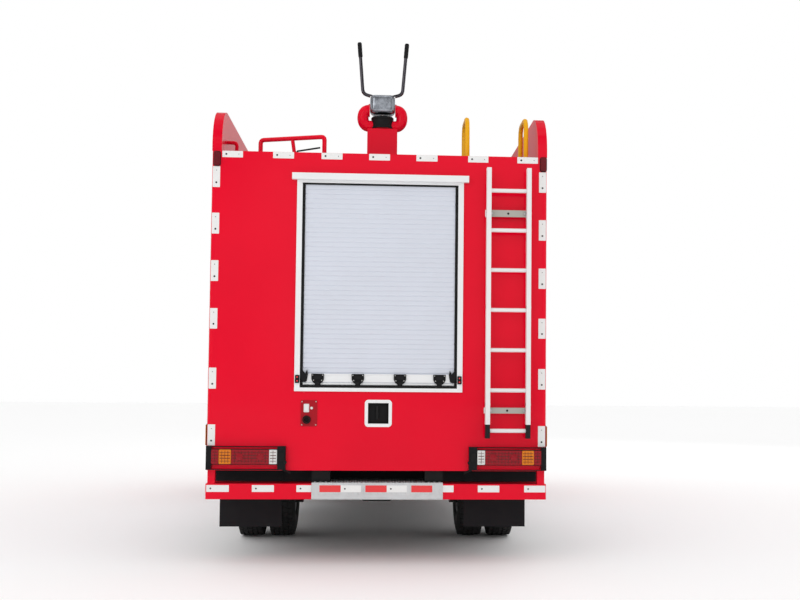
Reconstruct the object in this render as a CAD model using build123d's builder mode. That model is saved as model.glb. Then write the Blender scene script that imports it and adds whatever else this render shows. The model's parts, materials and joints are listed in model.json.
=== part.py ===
# Foam fire truck on a two-axle forward-control chassis with a tilting crew cab.
# Millimetres. +X is the truck's right, +Y its front, +Z up. The origin is on the
# ground, midway along and across the whole vehicle.
from build123d import *
from math import cos, pi, radians, sin, tan
import os

os.makedirs("parts", exist_ok=True)

# Whole vehicle
WHEELBASE = 4500
REAR_OVERHANG = 1750  # rear axle to the rear wall
FRONT_OVERHANG = 1350  # front axle to the front bumper's face
LADDER_REACH = 112  # how far the ladder stands behind the rear wall
BODY_HALF = 1250
ROOF_Z = 3045
BODY_BOTTOM_Z = 690

OVERALL_LENGTH = REAR_OVERHANG + WHEELBASE + FRONT_OVERHANG + LADDER_REACH
TAIL_Y = LADDER_REACH - OVERALL_LENGTH / 2  # the rear wall's outer face
NOSE_Y = OVERALL_LENGTH / 2  # the front bumper's face
REAR_AXLE_Y = TAIL_Y + REAR_OVERHANG
FRONT_AXLE_Y = REAR_AXLE_Y + WHEELBASE

# Clearances
PIN_GAP = 0.05  # a pin or shaft in its hole, on the radius
SEAT_GAP = 0.3  # rounded pieces that rest against each other
RUN_GAP = 6  # pieces that move past each other

# Wheels
TYRE_R = 485
TYRE_HALF = 115
TREAD_HALF = 98
BEAD_HALF = 95
BEAD_RISE = 12  # the bead's depth outside the rim
WHEEL_SIDES = 60  # tyres and rims are turned in flats, so that their meshes stay light
RIM_R = 286
RIM_WALL = 14
FRONT_TRACK_HALF = 1000
REAR_TRACK_HALF = 940  # to the middle of each twin
TWIN_SPACING = 262
HUB_R = 110
HUB_REACH = 70  # how far a hub stands outside its rim's middle
HAND_HOLES = 8
HAND_HOLE_R = 26
HAND_HOLE_RING_R = 185
SPINDLE_R = 40
DRUM_R = 200

# Frame
FRAME_HALF = 430
RAIL_BOTTOM_Z = 660
RAIL_TOP_Z = 900
RAIL_FLANGE = 80
RAIL_THICK = 8
RAIL_TAIL_GAP = 60  # the rails stop this far ahead of the rear wall
RAIL_NOSE_GAP = 230  # and this far behind the bumper's face
CROSSMEMBER_HALF = 50
CROSSMEMBER_Z = (780, 880)
# distance of each crossmember ahead of the rear wall
CROSSMEMBERS = (140, 1150, 2350, 3500, 4350)
KINGPIN_X = 770
KINGPIN_R = 22
BOSS_R = 45
BOSS_HALF = 60
SPRING_HALF_WIDTH = 40
SPRING_EYE_R = 24

# Cab
CAB_SETBACK = 60  # the cab's face behind the bumper's
CAB_LENGTH = 2640
CAB_HALF = 1200
CAB_FLOOR_Z = 1100
CAB_ROOF_Z = 2800
CAB_WAIST_Z = 1880
CAB_LEAN = 35  # how far each side leans in from the waist to the roof
CAB_WALL = 50
CAB_CORNER_R = 220
SCREEN_BASE_Z = 1780
SCREEN_RAKE = 300
SCREEN_TOP_Z = 2680
GLASS_INSET = 14
GLASS_THICK = 8
DOOR_THICK = 45
DOOR_GAP = 10
DOOR_BOTTOM_Z = 1165
DOOR_TOP_Z = 2680
DOOR_HINGE_OUT = 12  # the hinge axis stands this far outside the skin
HINGE_PIN_R = 7
HINGE_BARREL_R = 11
HINGE_BARREL_HALF = 25
HINGE_HEIGHTS = (1300, 1740)
WINDOW_MARGIN = 85
FASCIA_Z = 865
FASCIA_THICK = 60
TILT_Z = 860
TILT_BACK = 100  # the tilt pivot behind the cab's face
TILT_PIN_R = 20
CAB_FRONT_Y = NOSE_Y - CAB_SETBACK
CAB_REAR_Y = CAB_FRONT_Y - CAB_LENGTH
TILT_Y = CAB_FRONT_Y - TILT_BACK

# Body
CAB_BODY_GAP = 80
BODY_FRONT_Y = CAB_REAR_Y - CAB_BODY_GAP
BODY_LENGTH = BODY_FRONT_Y - TAIL_Y
WALL = 40
POST = 65
POST_R = 30
REAR_ARCH_R = 590
FRONT_ARCH_R = 640
LOCKER_IN_X = 560
FLOOR_THICK = 30
DECK_Z = (3000, 3040)
FAIRING_HEIGHT = 345
FAIRING_THICK = 70
FAIRING_R = 300


def span_box(x_span, y_span, z_span, mode=Mode.ADD):
    """A block between two values along each axis, in the part being built."""
    middle = [(low + high) / 2 for low, high in (x_span, y_span, z_span)]
    sizes = [abs(high - low) for low, high in (x_span, y_span, z_span)]
    with Locations(tuple(middle)):
        Box(*sizes, mode=mode)


def mirrored(side, near, far):
    """The two X values of a span given on the right, for side +1 or -1."""
    return tuple(sorted((side * near, side * far)))


def rod(start, end, radius, mode=Mode.ADD):
    """A round bar between two points."""
    run = Vector(*end) - Vector(*start)
    with BuildSketch(Plane(origin=start, z_dir=run)) as disc:
        Circle(radius)
    extrude(disc.sketch, amount=run.length, mode=mode)


BEND_RUNS = 3  # short straight runs that take a tube round one bend


def bent_tube(points, bend, radius, sides=12):
    """A tube of many flats along straight runs, with short mitred runs round each bend."""
    corners = [Vector(*point) for point in points]
    route = corners[:1]
    for before, corner, after in zip(corners, corners[1:], corners[2:]):
        arrive = (corner - before).normalized()
        leave = (after - corner).normalized()
        turn = radians(arrive.get_angle(leave))
        inward = (leave - arrive * cos(turn)).normalized()
        start = corner - arrive * (bend * tan(turn / 2))
        for step in range(BEND_RUNS + 1):
            lean = turn * step / BEND_RUNS
            route.append(start + inward * (bend - bend * cos(lean)) + arrive * (bend * sin(lean)))
    route.append(corners[-1])
    with BuildLine() as path:
        Polyline(*route)
    with BuildSketch(Plane(origin=route[0], z_dir=route[1] - route[0])) as section:
        RegularPolygon(radius, sides)
    sweep(section.sketch, path=path.line, transition=Transition.RIGHT)


# Frame: two channel rails, their crossmembers, spring hangers and brackets
RAIL_REAR_Y = TAIL_Y + RAIL_TAIL_GAP
RAIL_FRONT_Y = NOSE_Y - RAIL_NOSE_GAP
RAIL_IN_X = FRAME_HALF - RAIL_FLANGE
WEB_IN_X = FRAME_HALF - RAIL_THICK

FRONT_BUMPER_Z = (470, 780)
FRONT_BUMPER_THICK = 70
FRONT_BUMPER_HALF = 1240
FRONT_BUMPER_WRAP = 330
TOW_EYE_Z = 405
TOW_EYE_BACK = 90
TOW_EYE_R = 48
TOW_BORE_R = 25
TOW_LUG_X = (375, 405)
REAR_BUMPER_Z = (480, 593)
STEP_SHEET = 8

# springs: middle X, axle Y, Z under the pack, half length, leaves, leaf thickness, rise to the eye
FRONT_SPRING = (390, FRONT_AXLE_Y, 520, 650, 4, 14, 60)
REAR_SPRING = (480, REAR_AXLE_Y, 590, 700, 5, 16, 70)


def spring_eye_z(spring):
    """The height of a spring's eyes, which stand at the ends of its top leaf."""
    _, _, seat_z, _, leaves, leaf, rise = spring
    return seat_z + (leaves - 0.5) * leaf + rise


def spring_hangers(side, spring, outer_x):
    """A bracket over each eye of one spring, carried by the rail."""
    middle_x, axle_y, _, half, *_ = spring
    eye_top = spring_eye_z(spring) + SPRING_EYE_R + SEAT_GAP
    inner_x = min(middle_x - SPRING_HALF_WIDTH, FRAME_HALF)
    top_z = max(RAIL_BOTTOM_Z, eye_top + 60)
    for end in (-1, 1):
        y = axle_y + end * half
        span_box(mirrored(side, inner_x, outer_x), (y - 40, y + 40), (eye_top, top_z))


with BuildPart() as frame_rails:
    for side in (-1, 1):
        with BuildSketch(Plane.XZ.offset(-RAIL_FRONT_Y)):
            with BuildLine():
                Polyline(
                    (side * FRAME_HALF, RAIL_BOTTOM_Z),
                    (side * FRAME_HALF, RAIL_TOP_Z),
                    (side * RAIL_IN_X, RAIL_TOP_Z),
                    (side * RAIL_IN_X, RAIL_TOP_Z - RAIL_THICK),
                    (side * WEB_IN_X, RAIL_TOP_Z - RAIL_THICK),
                    (side * WEB_IN_X, RAIL_BOTTOM_Z + RAIL_THICK),
                    (side * RAIL_IN_X, RAIL_BOTTOM_Z + RAIL_THICK),
                    (side * RAIL_IN_X, RAIL_BOTTOM_Z),
                    close=True,
                )
            make_face()
        extrude(amount=RAIL_FRONT_Y - RAIL_REAR_Y)
        spring_hangers(side, FRONT_SPRING, FRAME_HALF)
        spring_hangers(side, REAR_SPRING, REAR_SPRING[0] + SPRING_HALF_WIDTH)
        # the cab's tilt bracket, round about the pivot, with its pin
        with BuildSketch(Plane.YZ.offset(side * RAIL_IN_X)):
            with BuildLine():
                Polyline(
                    (TILT_Y - 110, RAIL_BOTTOM_Z + 100),
                    (TILT_Y + 25, RAIL_BOTTOM_Z + 100),
                    (TILT_Y + 25, TILT_Z),
                )
                RadiusArc((TILT_Y + 25, TILT_Z), (TILT_Y - 25, TILT_Z), -25)
                Polyline(
                    (TILT_Y - 25, TILT_Z),
                    (TILT_Y - 110, TILT_Z),
                    (TILT_Y - 110, RAIL_BOTTOM_Z + 100),
                )
            make_face()
        extrude(amount=side * RAIL_FLANGE)
        rod((side * FRAME_HALF, TILT_Y, TILT_Z), (side * (FRAME_HALF + 45), TILT_Y, TILT_Z), TILT_PIN_R)
        # the rear step's bracket
        span_box(
            mirrored(side, RAIL_IN_X, FRAME_HALF + 55),
            (RAIL_REAR_Y, RAIL_REAR_Y + 120),
            (REAR_BUMPER_Z[1] + STEP_SHEET, RAIL_BOTTOM_Z + 25),
        )
        # the bumper's bracket, and the tow lug under it
        bumper_back_y = NOSE_Y - FRONT_BUMPER_THICK
        span_box(
            mirrored(side, RAIL_IN_X, FRAME_HALF),
            (RAIL_FRONT_Y, bumper_back_y),
            (RAIL_BOTTOM_Z, RAIL_BOTTOM_Z + 100),
        )
        with BuildSketch(Plane.YZ.offset(side * TOW_LUG_X[0])):
            with Locations((NOSE_Y - TOW_EYE_BACK, TOW_EYE_Z)):
                Circle(TOW_EYE_R)
            with BuildLine():
                Polyline(
                    (NOSE_Y - TOW_EYE_BACK + TOW_EYE_R, TOW_EYE_Z),
                    (NOSE_Y - TOW_EYE_BACK - TOW_EYE_R, TOW_EYE_Z),
                    (RAIL_FRONT_Y, RAIL_BOTTOM_Z),
                    (bumper_back_y - SEAT_GAP, RAIL_BOTTOM_Z),
                    (bumper_back_y - SEAT_GAP, FRONT_BUMPER_Z[0] - 10),
                    (NOSE_Y - TOW_EYE_BACK + TOW_EYE_R, FRONT_BUMPER_Z[0] - 30),
                    close=True,
                )
            make_face()
            with Locations((NOSE_Y - TOW_EYE_BACK, TOW_EYE_Z)):
                Circle(TOW_BORE_R, mode=Mode.SUBTRACT)
        extrude(amount=side * (TOW_LUG_X[1] - TOW_LUG_X[0]))
    for ahead in CROSSMEMBERS:
        y = TAIL_Y + ahead
        span_box((-WEB_IN_X, WEB_IN_X), (y - CROSSMEMBER_HALF, y + CROSSMEMBER_HALF), CROSSMEMBER_Z)
frame_rails.part.label = "frame_rails"

# Springs: curved leaves, each shorter than the one above it


def leaf_pack(side, spring):
    """One spring of stacked leaves with an eye at each end of the top leaf."""
    middle_x, axle_y, seat_z, half, leaves, leaf, rise = spring
    bend_r = (half * half + rise * rise) / (2 * rise)
    top_mid_z = seat_z + (leaves - 0.5) * leaf
    centre_z = top_mid_z + bend_r
    with BuildSketch(Plane.YZ.offset(side * middle_x)) as pack:
        for index in range(round(leaves)):
            reach = half * (index + 2) / (leaves + 1)
            outer_r = bend_r + (leaves - index - 0.5) * leaf
            inner_r = outer_r - leaf
            lean = reach / bend_r
            with BuildLine():
                low_left, low_mid, low_right = [
                    (axle_y + outer_r * sin(turn), centre_z - outer_r * cos(turn)) for turn in (-lean, 0, lean)
                ]
                top_left, top_mid, top_right = [
                    (axle_y + inner_r * sin(turn), centre_z - inner_r * cos(turn)) for turn in (-lean, 0, lean)
                ]
                ThreePointArc(low_left, low_mid, low_right)
                Line(low_right, top_right)
                ThreePointArc(top_right, top_mid, top_left)
                Line(top_left, low_left)
            make_face()
        with Locations((axle_y - half, top_mid_z + rise), (axle_y + half, top_mid_z + rise)):
            Circle(SPRING_EYE_R)
    extrude(pack.sketch, amount=SPRING_HALF_WIDTH, both=True)


with BuildPart() as leaf_springs:
    for side in (-1, 1):
        leaf_pack(side, FRONT_SPRING)
        leaf_pack(side, REAR_SPRING)
leaf_springs.part.label = "leaf_springs"

# Front axle: a dropped beam with a boss for each kingpin and a pad for each spring
BEAM_Z = (350, 450)
BEAM_HALF = 45
with BuildPart() as front_axle:
    with BuildSketch(Plane.XZ.offset(-FRONT_AXLE_Y)):
        with BuildLine():
            Polyline(
                (-560, BEAM_Z[0]),
                (560, BEAM_Z[0]),
                (690, TYRE_R - 50),
                (KINGPIN_X, TYRE_R - 50),
                (KINGPIN_X, TYRE_R + 50),
                (670, TYRE_R + 50),
                (540, BEAM_Z[1]),
                (-540, BEAM_Z[1]),
                (-670, TYRE_R + 50),
                (-KINGPIN_X, TYRE_R + 50),
                (-KINGPIN_X, TYRE_R - 50),
                (-690, TYRE_R - 50),
                close=True,
            )
        make_face()
    extrude(amount=BEAM_HALF, both=True)
    for side in (-1, 1):
        boss = (side * KINGPIN_X, FRONT_AXLE_Y, TYRE_R)
        with Locations(boss):
            Cylinder(BOSS_R, 2 * BOSS_HALF)
            Cylinder(KINGPIN_R + PIN_GAP, 2 * BOSS_HALF + 2, mode=Mode.SUBTRACT)
        pad_x = FRONT_SPRING[0]
        span_box(
            mirrored(side, pad_x - SPRING_HALF_WIDTH, pad_x + SPRING_HALF_WIDTH),
            (FRONT_AXLE_Y - 55, FRONT_AXLE_Y + 55),
            (BEAM_Z[1], FRONT_SPRING[2] - SEAT_GAP),
        )
front_axle.part.label = "front_axle"

# Rear axle: tube, differential, brake drums and the spindles that the twins turn on
AXLE_TUBE_R = 65
DIFF_R = 190
DIFF_HALF = 120
DIFF_NOSE = 250
REAR_SPINDLE_R = 45
TWIN_DISC_HALF = 12
REAR_DRUM_X = (640, REAR_TRACK_HALF - TWIN_DISC_HALF - 2 * RUN_GAP)
REAR_SPINDLE_END = REAR_TRACK_HALF + TWIN_SPACING / 2 - RUN_GAP
with BuildPart() as rear_axle:
    with BuildSketch(Plane(origin=(0, REAR_AXLE_Y, TYRE_R), x_dir=(1, 0, 0), z_dir=(0, -1, 0))):
        with BuildLine():
            Polyline(
                (0, 0),
                (REAR_SPINDLE_END, 0),
                (REAR_SPINDLE_END, REAR_SPINDLE_R),
                (REAR_DRUM_X[1], REAR_SPINDLE_R),
                (REAR_DRUM_X[1], DRUM_R),
                (REAR_DRUM_X[0], DRUM_R),
                (REAR_DRUM_X[0], AXLE_TUBE_R),
                (DIFF_HALF + 120, AXLE_TUBE_R),
                (DIFF_HALF, DIFF_R),
                (0, DIFF_R),
                close=True,
            )
        make_face()
    revolve(axis=Axis((0, REAR_AXLE_Y, TYRE_R), (1, 0, 0)))
    mirror(about=Plane.YZ)
    rod((0, REAR_AXLE_Y, TYRE_R + 30), (0, REAR_AXLE_Y + DIFF_NOSE, TYRE_R + 30), 90)
    for side in (-1, 1):
        pad_x = REAR_SPRING[0]
        span_box(
            mirrored(side, pad_x - SPRING_HALF_WIDTH, pad_x + SPRING_HALF_WIDTH),
            (REAR_AXLE_Y - 60, REAR_AXLE_Y + 60),
            (TYRE_R, REAR_SPRING[2] - SEAT_GAP),
        )
rear_axle.part.label = "rear_axle"

# Engine and gearbox, closed in under the cab, as plain blocks on the rails
ENGINE_HALF = 300
ENGINE_Y = (FRONT_AXLE_Y - 550, FRONT_AXLE_Y + 600)
ENGINE_Z = (640, 1070)
GEARBOX_HALF = 190
GEARBOX_Z = (560, 760)
GEARBOX_REAR_Y = ENGINE_Y[0] - 650
with BuildPart() as engine:
    span_box((-ENGINE_HALF, ENGINE_HALF), ENGINE_Y, ENGINE_Z)
    span_box((-GEARBOX_HALF, GEARBOX_HALF), (GEARBOX_REAR_Y, ENGINE_Y[0]), GEARBOX_Z)
    for side in (-1, 1):
        for y in (ENGINE_Y[0] + 150, ENGINE_Y[1] - 150):
            span_box(
                mirrored(side, ENGINE_HALF, WEB_IN_X),
                (y - 50, y + 50),
                (RAIL_BOTTOM_Z + RAIL_THICK, RAIL_BOTTOM_Z + 90),
            )
engine.part.label = "engine"

# Propeller shaft from the gearbox to the differential
SHAFT_FRONT = (0, GEARBOX_REAR_Y, 660)
SHAFT_REAR = (0, REAR_AXLE_Y + DIFF_NOSE, TYRE_R + 30)
with BuildPart() as prop_shaft:
    reach = Vector(*SHAFT_REAR) - Vector(*SHAFT_FRONT)
    reach = reach.normalized()
    front_joint = Vector(*SHAFT_FRONT) + Vector(0, -60, 0)
    rear_joint = Vector(*SHAFT_REAR) + Vector(0, 60, 0)
    rod(SHAFT_FRONT, front_joint, 60)
    rod(rear_joint, SHAFT_REAR, 60)
    rod(front_joint, rear_joint, 42)
prop_shaft.part.label = "prop_shaft"

# Fuel tank hung on the left rail
TANK_X = (FRAME_HALF + 50, BODY_HALF - 210)
TANK_Y = (BODY_FRONT_Y - 970, BODY_FRONT_Y - 170)
TANK_Z = (330, 670)
with BuildPart() as fuel_tank:
    with BuildSketch(Plane.XZ.offset(-TANK_Y[1])):
        with Locations((-(TANK_X[0] + TANK_X[1]) / 2, (TANK_Z[0] + TANK_Z[1]) / 2)):
            RectangleRounded(TANK_X[1] - TANK_X[0], TANK_Z[1] - TANK_Z[0], 90)
    extrude(amount=TANK_Y[1] - TANK_Y[0])
    for y in (TANK_Y[0] + 200, TANK_Y[1] - 200):
        span_box((-TANK_X[0] - 100, -FRAME_HALF), (y - 30, y + 30), (TANK_Z[1] - 110, BODY_BOTTOM_Z - 5))
fuel_tank.part.label = "fuel_tank"


# Wheels, each built from rings about its axle and shifted along X


def flats_r(inside_r):
    """The corner radius of a ring of flats that clears a circle."""
    return inside_r / cos(pi / WHEEL_SIDES)


def ring(x, axle_y, x_span, outer_r, inner_r=0, mode=Mode.ADD):
    """A ring of flats about an axle, between two distances from x."""
    with BuildSketch(Plane.YZ.offset(x + min(x_span))) as face:
        with Locations((axle_y, TYRE_R)):
            RegularPolygon(outer_r, WHEEL_SIDES)
            if inner_r:
                RegularPolygon(inner_r, WHEEL_SIDES, mode=Mode.SUBTRACT)
    extrude(face.sketch, amount=max(x_span) - min(x_span), mode=mode)


# half of a tyre's section from the bead to the tread: distance from its middle, corner radius
TYRE_SECTION = (
    (BEAD_HALF, flats_r(RIM_R) + BEAD_RISE),
    (TYRE_HALF, TYRE_R - 40),
    (TREAD_HALF, TYRE_R),
)


def add_tyre(x, axle_y):
    """One tyre: flat faces between the corner rings of its closed section."""
    half = ((BEAD_HALF, flats_r(RIM_R)), *TYRE_SECTION)
    section = [(-reach, corner_r) for reach, corner_r in half] + list(half[::-1])
    turns = [2 * pi * corner / WHEEL_SIDES for corner in range(WHEEL_SIDES)]
    rings = [
        [(x + reach, axle_y + corner_r * cos(turn), TYRE_R + corner_r * sin(turn)) for turn in turns]
        for reach, corner_r in section
    ]
    faces = []
    for row, ring_points in enumerate(rings):
        beside = rings[row - 1]
        for corner in range(WHEEL_SIDES):
            corners = (beside[corner - 1], beside[corner], ring_points[corner], ring_points[corner - 1])
            faces.append(Face(Wire.make_polygon(corners, close=True)))
    add(Solid(Shell(faces)))


def add_hand_holes(x, axle_y):
    """The hand holes through a rim's disc."""
    with BuildSketch(Plane.YZ.offset(x)) as holes:
        with Locations((axle_y, TYRE_R)):
            with PolarLocations(HAND_HOLE_RING_R, HAND_HOLES):
                RegularPolygon(HAND_HOLE_R, 8)
    extrude(holes.sketch, amount=BEAD_HALF, both=True, mode=Mode.SUBTRACT)


def add_front_rim(side):
    """A front rim: its barrel, disc and hub, bored from inside for the spindle."""
    x = side * FRONT_TRACK_HALF
    seat_r = flats_r(RIM_R - SEAT_GAP)
    inner_r = seat_r - RIM_WALL
    ring(x, FRONT_AXLE_Y, (-BEAD_HALF, BEAD_HALF), seat_r, inner_r)
    ring(x, FRONT_AXLE_Y, (-side * 25, -side * 10), inner_r + 2)
    add_hand_holes(x, FRONT_AXLE_Y)
    hub_back = x - side * 60
    hub_face = x + side * (HUB_REACH + 40)
    rod((hub_back, FRONT_AXLE_Y, TYRE_R), (hub_face, FRONT_AXLE_Y, TYRE_R), HUB_R)
    rod((hub_face, FRONT_AXLE_Y, TYRE_R), (hub_face + side * 25, FRONT_AXLE_Y, TYRE_R), HUB_R - 35)
    spindle_way = x + side * (HUB_REACH - 30)
    rod(
        (hub_back, FRONT_AXLE_Y, TYRE_R),
        (spindle_way, FRONT_AXLE_Y, TYRE_R),
        SPINDLE_R + PIN_GAP,
        mode=Mode.SUBTRACT,
    )


def add_twin_rim(side):
    """Two rims back to back on one hub, bored from inside for the rear spindle."""
    x = side * REAR_TRACK_HALF
    seat_r = flats_r(RIM_R - SEAT_GAP)
    inner_r = seat_r - RIM_WALL
    outer_rim = TWIN_SPACING / 2
    for middle in (-outer_rim, outer_rim):
        ring(x + middle, REAR_AXLE_Y, (-BEAD_HALF, BEAD_HALF), seat_r, inner_r)
    ring(x, REAR_AXLE_Y, (-outer_rim + BEAD_HALF, outer_rim - BEAD_HALF), seat_r - 4, inner_r - 10)
    ring(x, REAR_AXLE_Y, (-TWIN_DISC_HALF, TWIN_DISC_HALF), inner_r - 9)
    add_hand_holes(x, REAR_AXLE_Y)
    hub_back = x - side * TWIN_DISC_HALF
    spindle_way = x + side * outer_rim
    rod((hub_back, REAR_AXLE_Y, TYRE_R), (spindle_way + side * 20, REAR_AXLE_Y, TYRE_R), HUB_R)
    rod((spindle_way, REAR_AXLE_Y, TYRE_R), (spindle_way + side * 50, REAR_AXLE_Y, TYRE_R), HUB_R - 35)
    rod(
        (hub_back, REAR_AXLE_Y, TYRE_R),
        (spindle_way, REAR_AXLE_Y, TYRE_R),
        REAR_SPINDLE_R + PIN_GAP,
        mode=Mode.SUBTRACT,
    )


wheel_parts = {}
for side, hand in ((-1, "left"), (1, "right")):
    with BuildPart() as front_tyre:
        add_tyre(side * FRONT_TRACK_HALF, FRONT_AXLE_Y)
    wheel_parts[f"front_{hand}_tyre"] = front_tyre.part
    with BuildPart() as front_rim:
        add_front_rim(side)
    wheel_parts[f"front_{hand}_rim"] = front_rim.part
    with BuildPart() as rear_tyres:
        for shift in (-TWIN_SPACING / 2, TWIN_SPACING / 2):
            add_tyre(side * REAR_TRACK_HALF + shift, REAR_AXLE_Y)
    wheel_parts[f"rear_{hand}_tyres"] = rear_tyres.part
    with BuildPart() as rear_rims:
        add_twin_rim(side)
    wheel_parts[f"rear_{hand}_rims"] = rear_rims.part

# Steering knuckles: a fork about the axle's boss, its kingpin, brake drum and spindle
FORK_ARM_Z = (BOSS_HALF + RUN_GAP, BOSS_HALF + RUN_GAP + 30)
FORK_WEB_X = (KINGPIN_X + BOSS_R + RUN_GAP, KINGPIN_X + BOSS_R + RUN_GAP + 25)
DRUM_X = (FORK_WEB_X[1], FRONT_TRACK_HALF - 60 - 2 * RUN_GAP)
for side, hand in ((-1, "left"), (1, "right")):
    with BuildPart() as knuckle:
        for end in (-1, 1):
            z_span = tuple(sorted((TYRE_R + end * FORK_ARM_Z[0], TYRE_R + end * FORK_ARM_Z[1])))
            with BuildSketch(Plane.XY.offset(z_span[0])):
                with Locations((side * KINGPIN_X, FRONT_AXLE_Y)):
                    Circle(BOSS_R)
                with Locations((side * (KINGPIN_X + FORK_WEB_X[1]) / 2, FRONT_AXLE_Y)):
                    Rectangle(FORK_WEB_X[1] - KINGPIN_X, 2 * BOSS_R)
            extrude(amount=z_span[1] - z_span[0])
        span_box(
            mirrored(side, *FORK_WEB_X),
            (FRONT_AXLE_Y - BOSS_R, FRONT_AXLE_Y + BOSS_R),
            (TYRE_R - FORK_ARM_Z[1], TYRE_R + FORK_ARM_Z[1]),
        )
        with Locations((side * KINGPIN_X, FRONT_AXLE_Y, TYRE_R)):
            Cylinder(KINGPIN_R, 2 * FORK_ARM_Z[1])
        rod((side * DRUM_X[0], FRONT_AXLE_Y, TYRE_R), (side * DRUM_X[1], FRONT_AXLE_Y, TYRE_R), DRUM_R)
        spindle_end = side * (FRONT_TRACK_HALF + HUB_REACH - 30 - RUN_GAP)
        rod((side * DRUM_X[1], FRONT_AXLE_Y, TYRE_R), (spindle_end, FRONT_AXLE_Y, TYRE_R), SPINDLE_R)
    wheel_parts[f"knuckle_{hand}"] = knuckle.part

# Body floor: middle plate on two bearers, locker trays outboard, and the wheel arches
TRAY_OUT_X = BODY_HALF - WALL
ARCH_LINER = 8
DECK_PLATE_Z = (940, 970)
END_WALL_HALF = BODY_HALF - POST
with BuildPart() as body_floor:
    floor_y = (TAIL_Y + WALL, BODY_FRONT_Y - WALL)
    with BuildSketch(Plane.XZ.offset(-floor_y[1])):
        for side in (-1, 1):
            with BuildLine():
                Polyline(
                    (0, DECK_PLATE_Z[0]),
                    (side * RAIL_IN_X, DECK_PLATE_Z[0]),
                    (side * RAIL_IN_X, RAIL_TOP_Z),
                    (side * FRAME_HALF, RAIL_TOP_Z),
                    (side * FRAME_HALF, DECK_PLATE_Z[0]),
                    (side * (LOCKER_IN_X - 15), DECK_PLATE_Z[0]),
                    (side * (LOCKER_IN_X - 15), BODY_BOTTOM_Z),
                    (side * TRAY_OUT_X, BODY_BOTTOM_Z),
                    (side * TRAY_OUT_X, BODY_BOTTOM_Z + FLOOR_THICK),
                    (side * LOCKER_IN_X, BODY_BOTTOM_Z + FLOOR_THICK),
                    (side * LOCKER_IN_X, DECK_PLATE_Z[1]),
                    (0, DECK_PLATE_Z[1]),
                    close=True,
                )
            make_face()
    extrude(amount=floor_y[1] - floor_y[0])
    for side in (-1, 1):
        with BuildSketch(Plane.YZ.offset(side * LOCKER_IN_X)):
            with Locations((REAR_AXLE_Y, TYRE_R)):
                Circle(REAR_ARCH_R + ARCH_LINER)
            with Locations((REAR_AXLE_Y, BODY_BOTTOM_Z - REAR_ARCH_R)):
                Rectangle(4 * REAR_ARCH_R, 2 * REAR_ARCH_R, mode=Mode.SUBTRACT)
        extrude(amount=side * (TRAY_OUT_X - LOCKER_IN_X))
        with BuildSketch(Plane.YZ.offset(side * LOCKER_IN_X)):
            with Locations((REAR_AXLE_Y, TYRE_R)):
                Circle(REAR_ARCH_R)
        extrude(amount=side * (BODY_HALF - LOCKER_IN_X), mode=Mode.SUBTRACT)
        # room for the walls' corner posts
        for end_y, inward in ((TAIL_Y, 1), (BODY_FRONT_Y, -1)):
            y_span = tuple(sorted((end_y, end_y + inward * POST)))
            span_box(
                mirrored(side, END_WALL_HALF, BODY_HALF),
                y_span,
                (BODY_BOTTOM_Z - WALL, DECK_PLATE_Z[1]),
                mode=Mode.SUBTRACT,
            )
body_floor.part.label = "body_floor"

# Side walls with rounded corner posts, cut for the roller shutters and wheel arches
# shutter bays: distance of each bay's rear and front edge ahead of the rear wall, bottom Z, top Z
BAYS = (
    (120, 1060, 770, 2780),
    (1180, 2320, 1250, 2780),
    (2440, 3480, 770, 2780),
    (3600, 4700, 770, 2780),
)
with BuildPart() as side_walls:
    for side in (-1, 1):
        span_box(
            mirrored(side, BODY_HALF - WALL, BODY_HALF),
            (TAIL_Y + POST, BODY_FRONT_Y - POST),
            (BODY_BOTTOM_Z, ROOF_Z),
        )
        for end_y, inward in ((TAIL_Y, 1), (BODY_FRONT_Y, -1)):
            middle = (side * (BODY_HALF - POST / 2), end_y + inward * POST / 2)
            with BuildSketch(Plane.XY.offset(BODY_BOTTOM_Z)):
                with Locations(middle):
                    Rectangle(POST, POST)
                corner = (side * BODY_HALF, end_y)
                with Locations((corner[0] - side * POST_R / 2, corner[1] + inward * POST_R / 2)):
                    Rectangle(POST_R, POST_R, mode=Mode.SUBTRACT)
                with Locations((corner[0] - side * POST_R, corner[1] + inward * POST_R)):
                    Circle(POST_R)
            extrude(amount=ROOF_Z - BODY_BOTTOM_Z)
        for rear, front, bottom, top in BAYS:
            span_box(
                mirrored(side, BODY_HALF - 2 * WALL, BODY_HALF + WALL),
                (TAIL_Y + rear, TAIL_Y + front),
                (bottom, top),
                mode=Mode.SUBTRACT,
            )
        with BuildSketch(Plane.YZ.offset(side * (BODY_HALF - 2 * WALL))):
            with Locations((REAR_AXLE_Y, TYRE_R)):
                Circle(REAR_ARCH_R)
        extrude(amount=side * 3 * WALL, mode=Mode.SUBTRACT)
side_walls.part.label = "side_walls"

# Rear wall, with the roller shutter's opening and the hatch
REAR_BAY_HALF = 600
REAR_BAY_Z = (1290, 2838)
HATCH_HALF = 80
HATCH_Z = 1111
with BuildPart() as rear_wall:
    span_box((-END_WALL_HALF, END_WALL_HALF), (TAIL_Y, TAIL_Y + WALL), (BODY_BOTTOM_Z, ROOF_Z))
    span_box(
        (-REAR_BAY_HALF, REAR_BAY_HALF),
        (TAIL_Y - WALL, TAIL_Y + 2 * WALL),
        REAR_BAY_Z,
        mode=Mode.SUBTRACT,
    )
    span_box(
        (-HATCH_HALF, HATCH_HALF),
        (TAIL_Y - WALL, TAIL_Y + 2 * WALL),
        (HATCH_Z - HATCH_HALF, HATCH_Z + HATCH_HALF),
        mode=Mode.SUBTRACT,
    )
rear_wall.part.label = "rear_wall"

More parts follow.
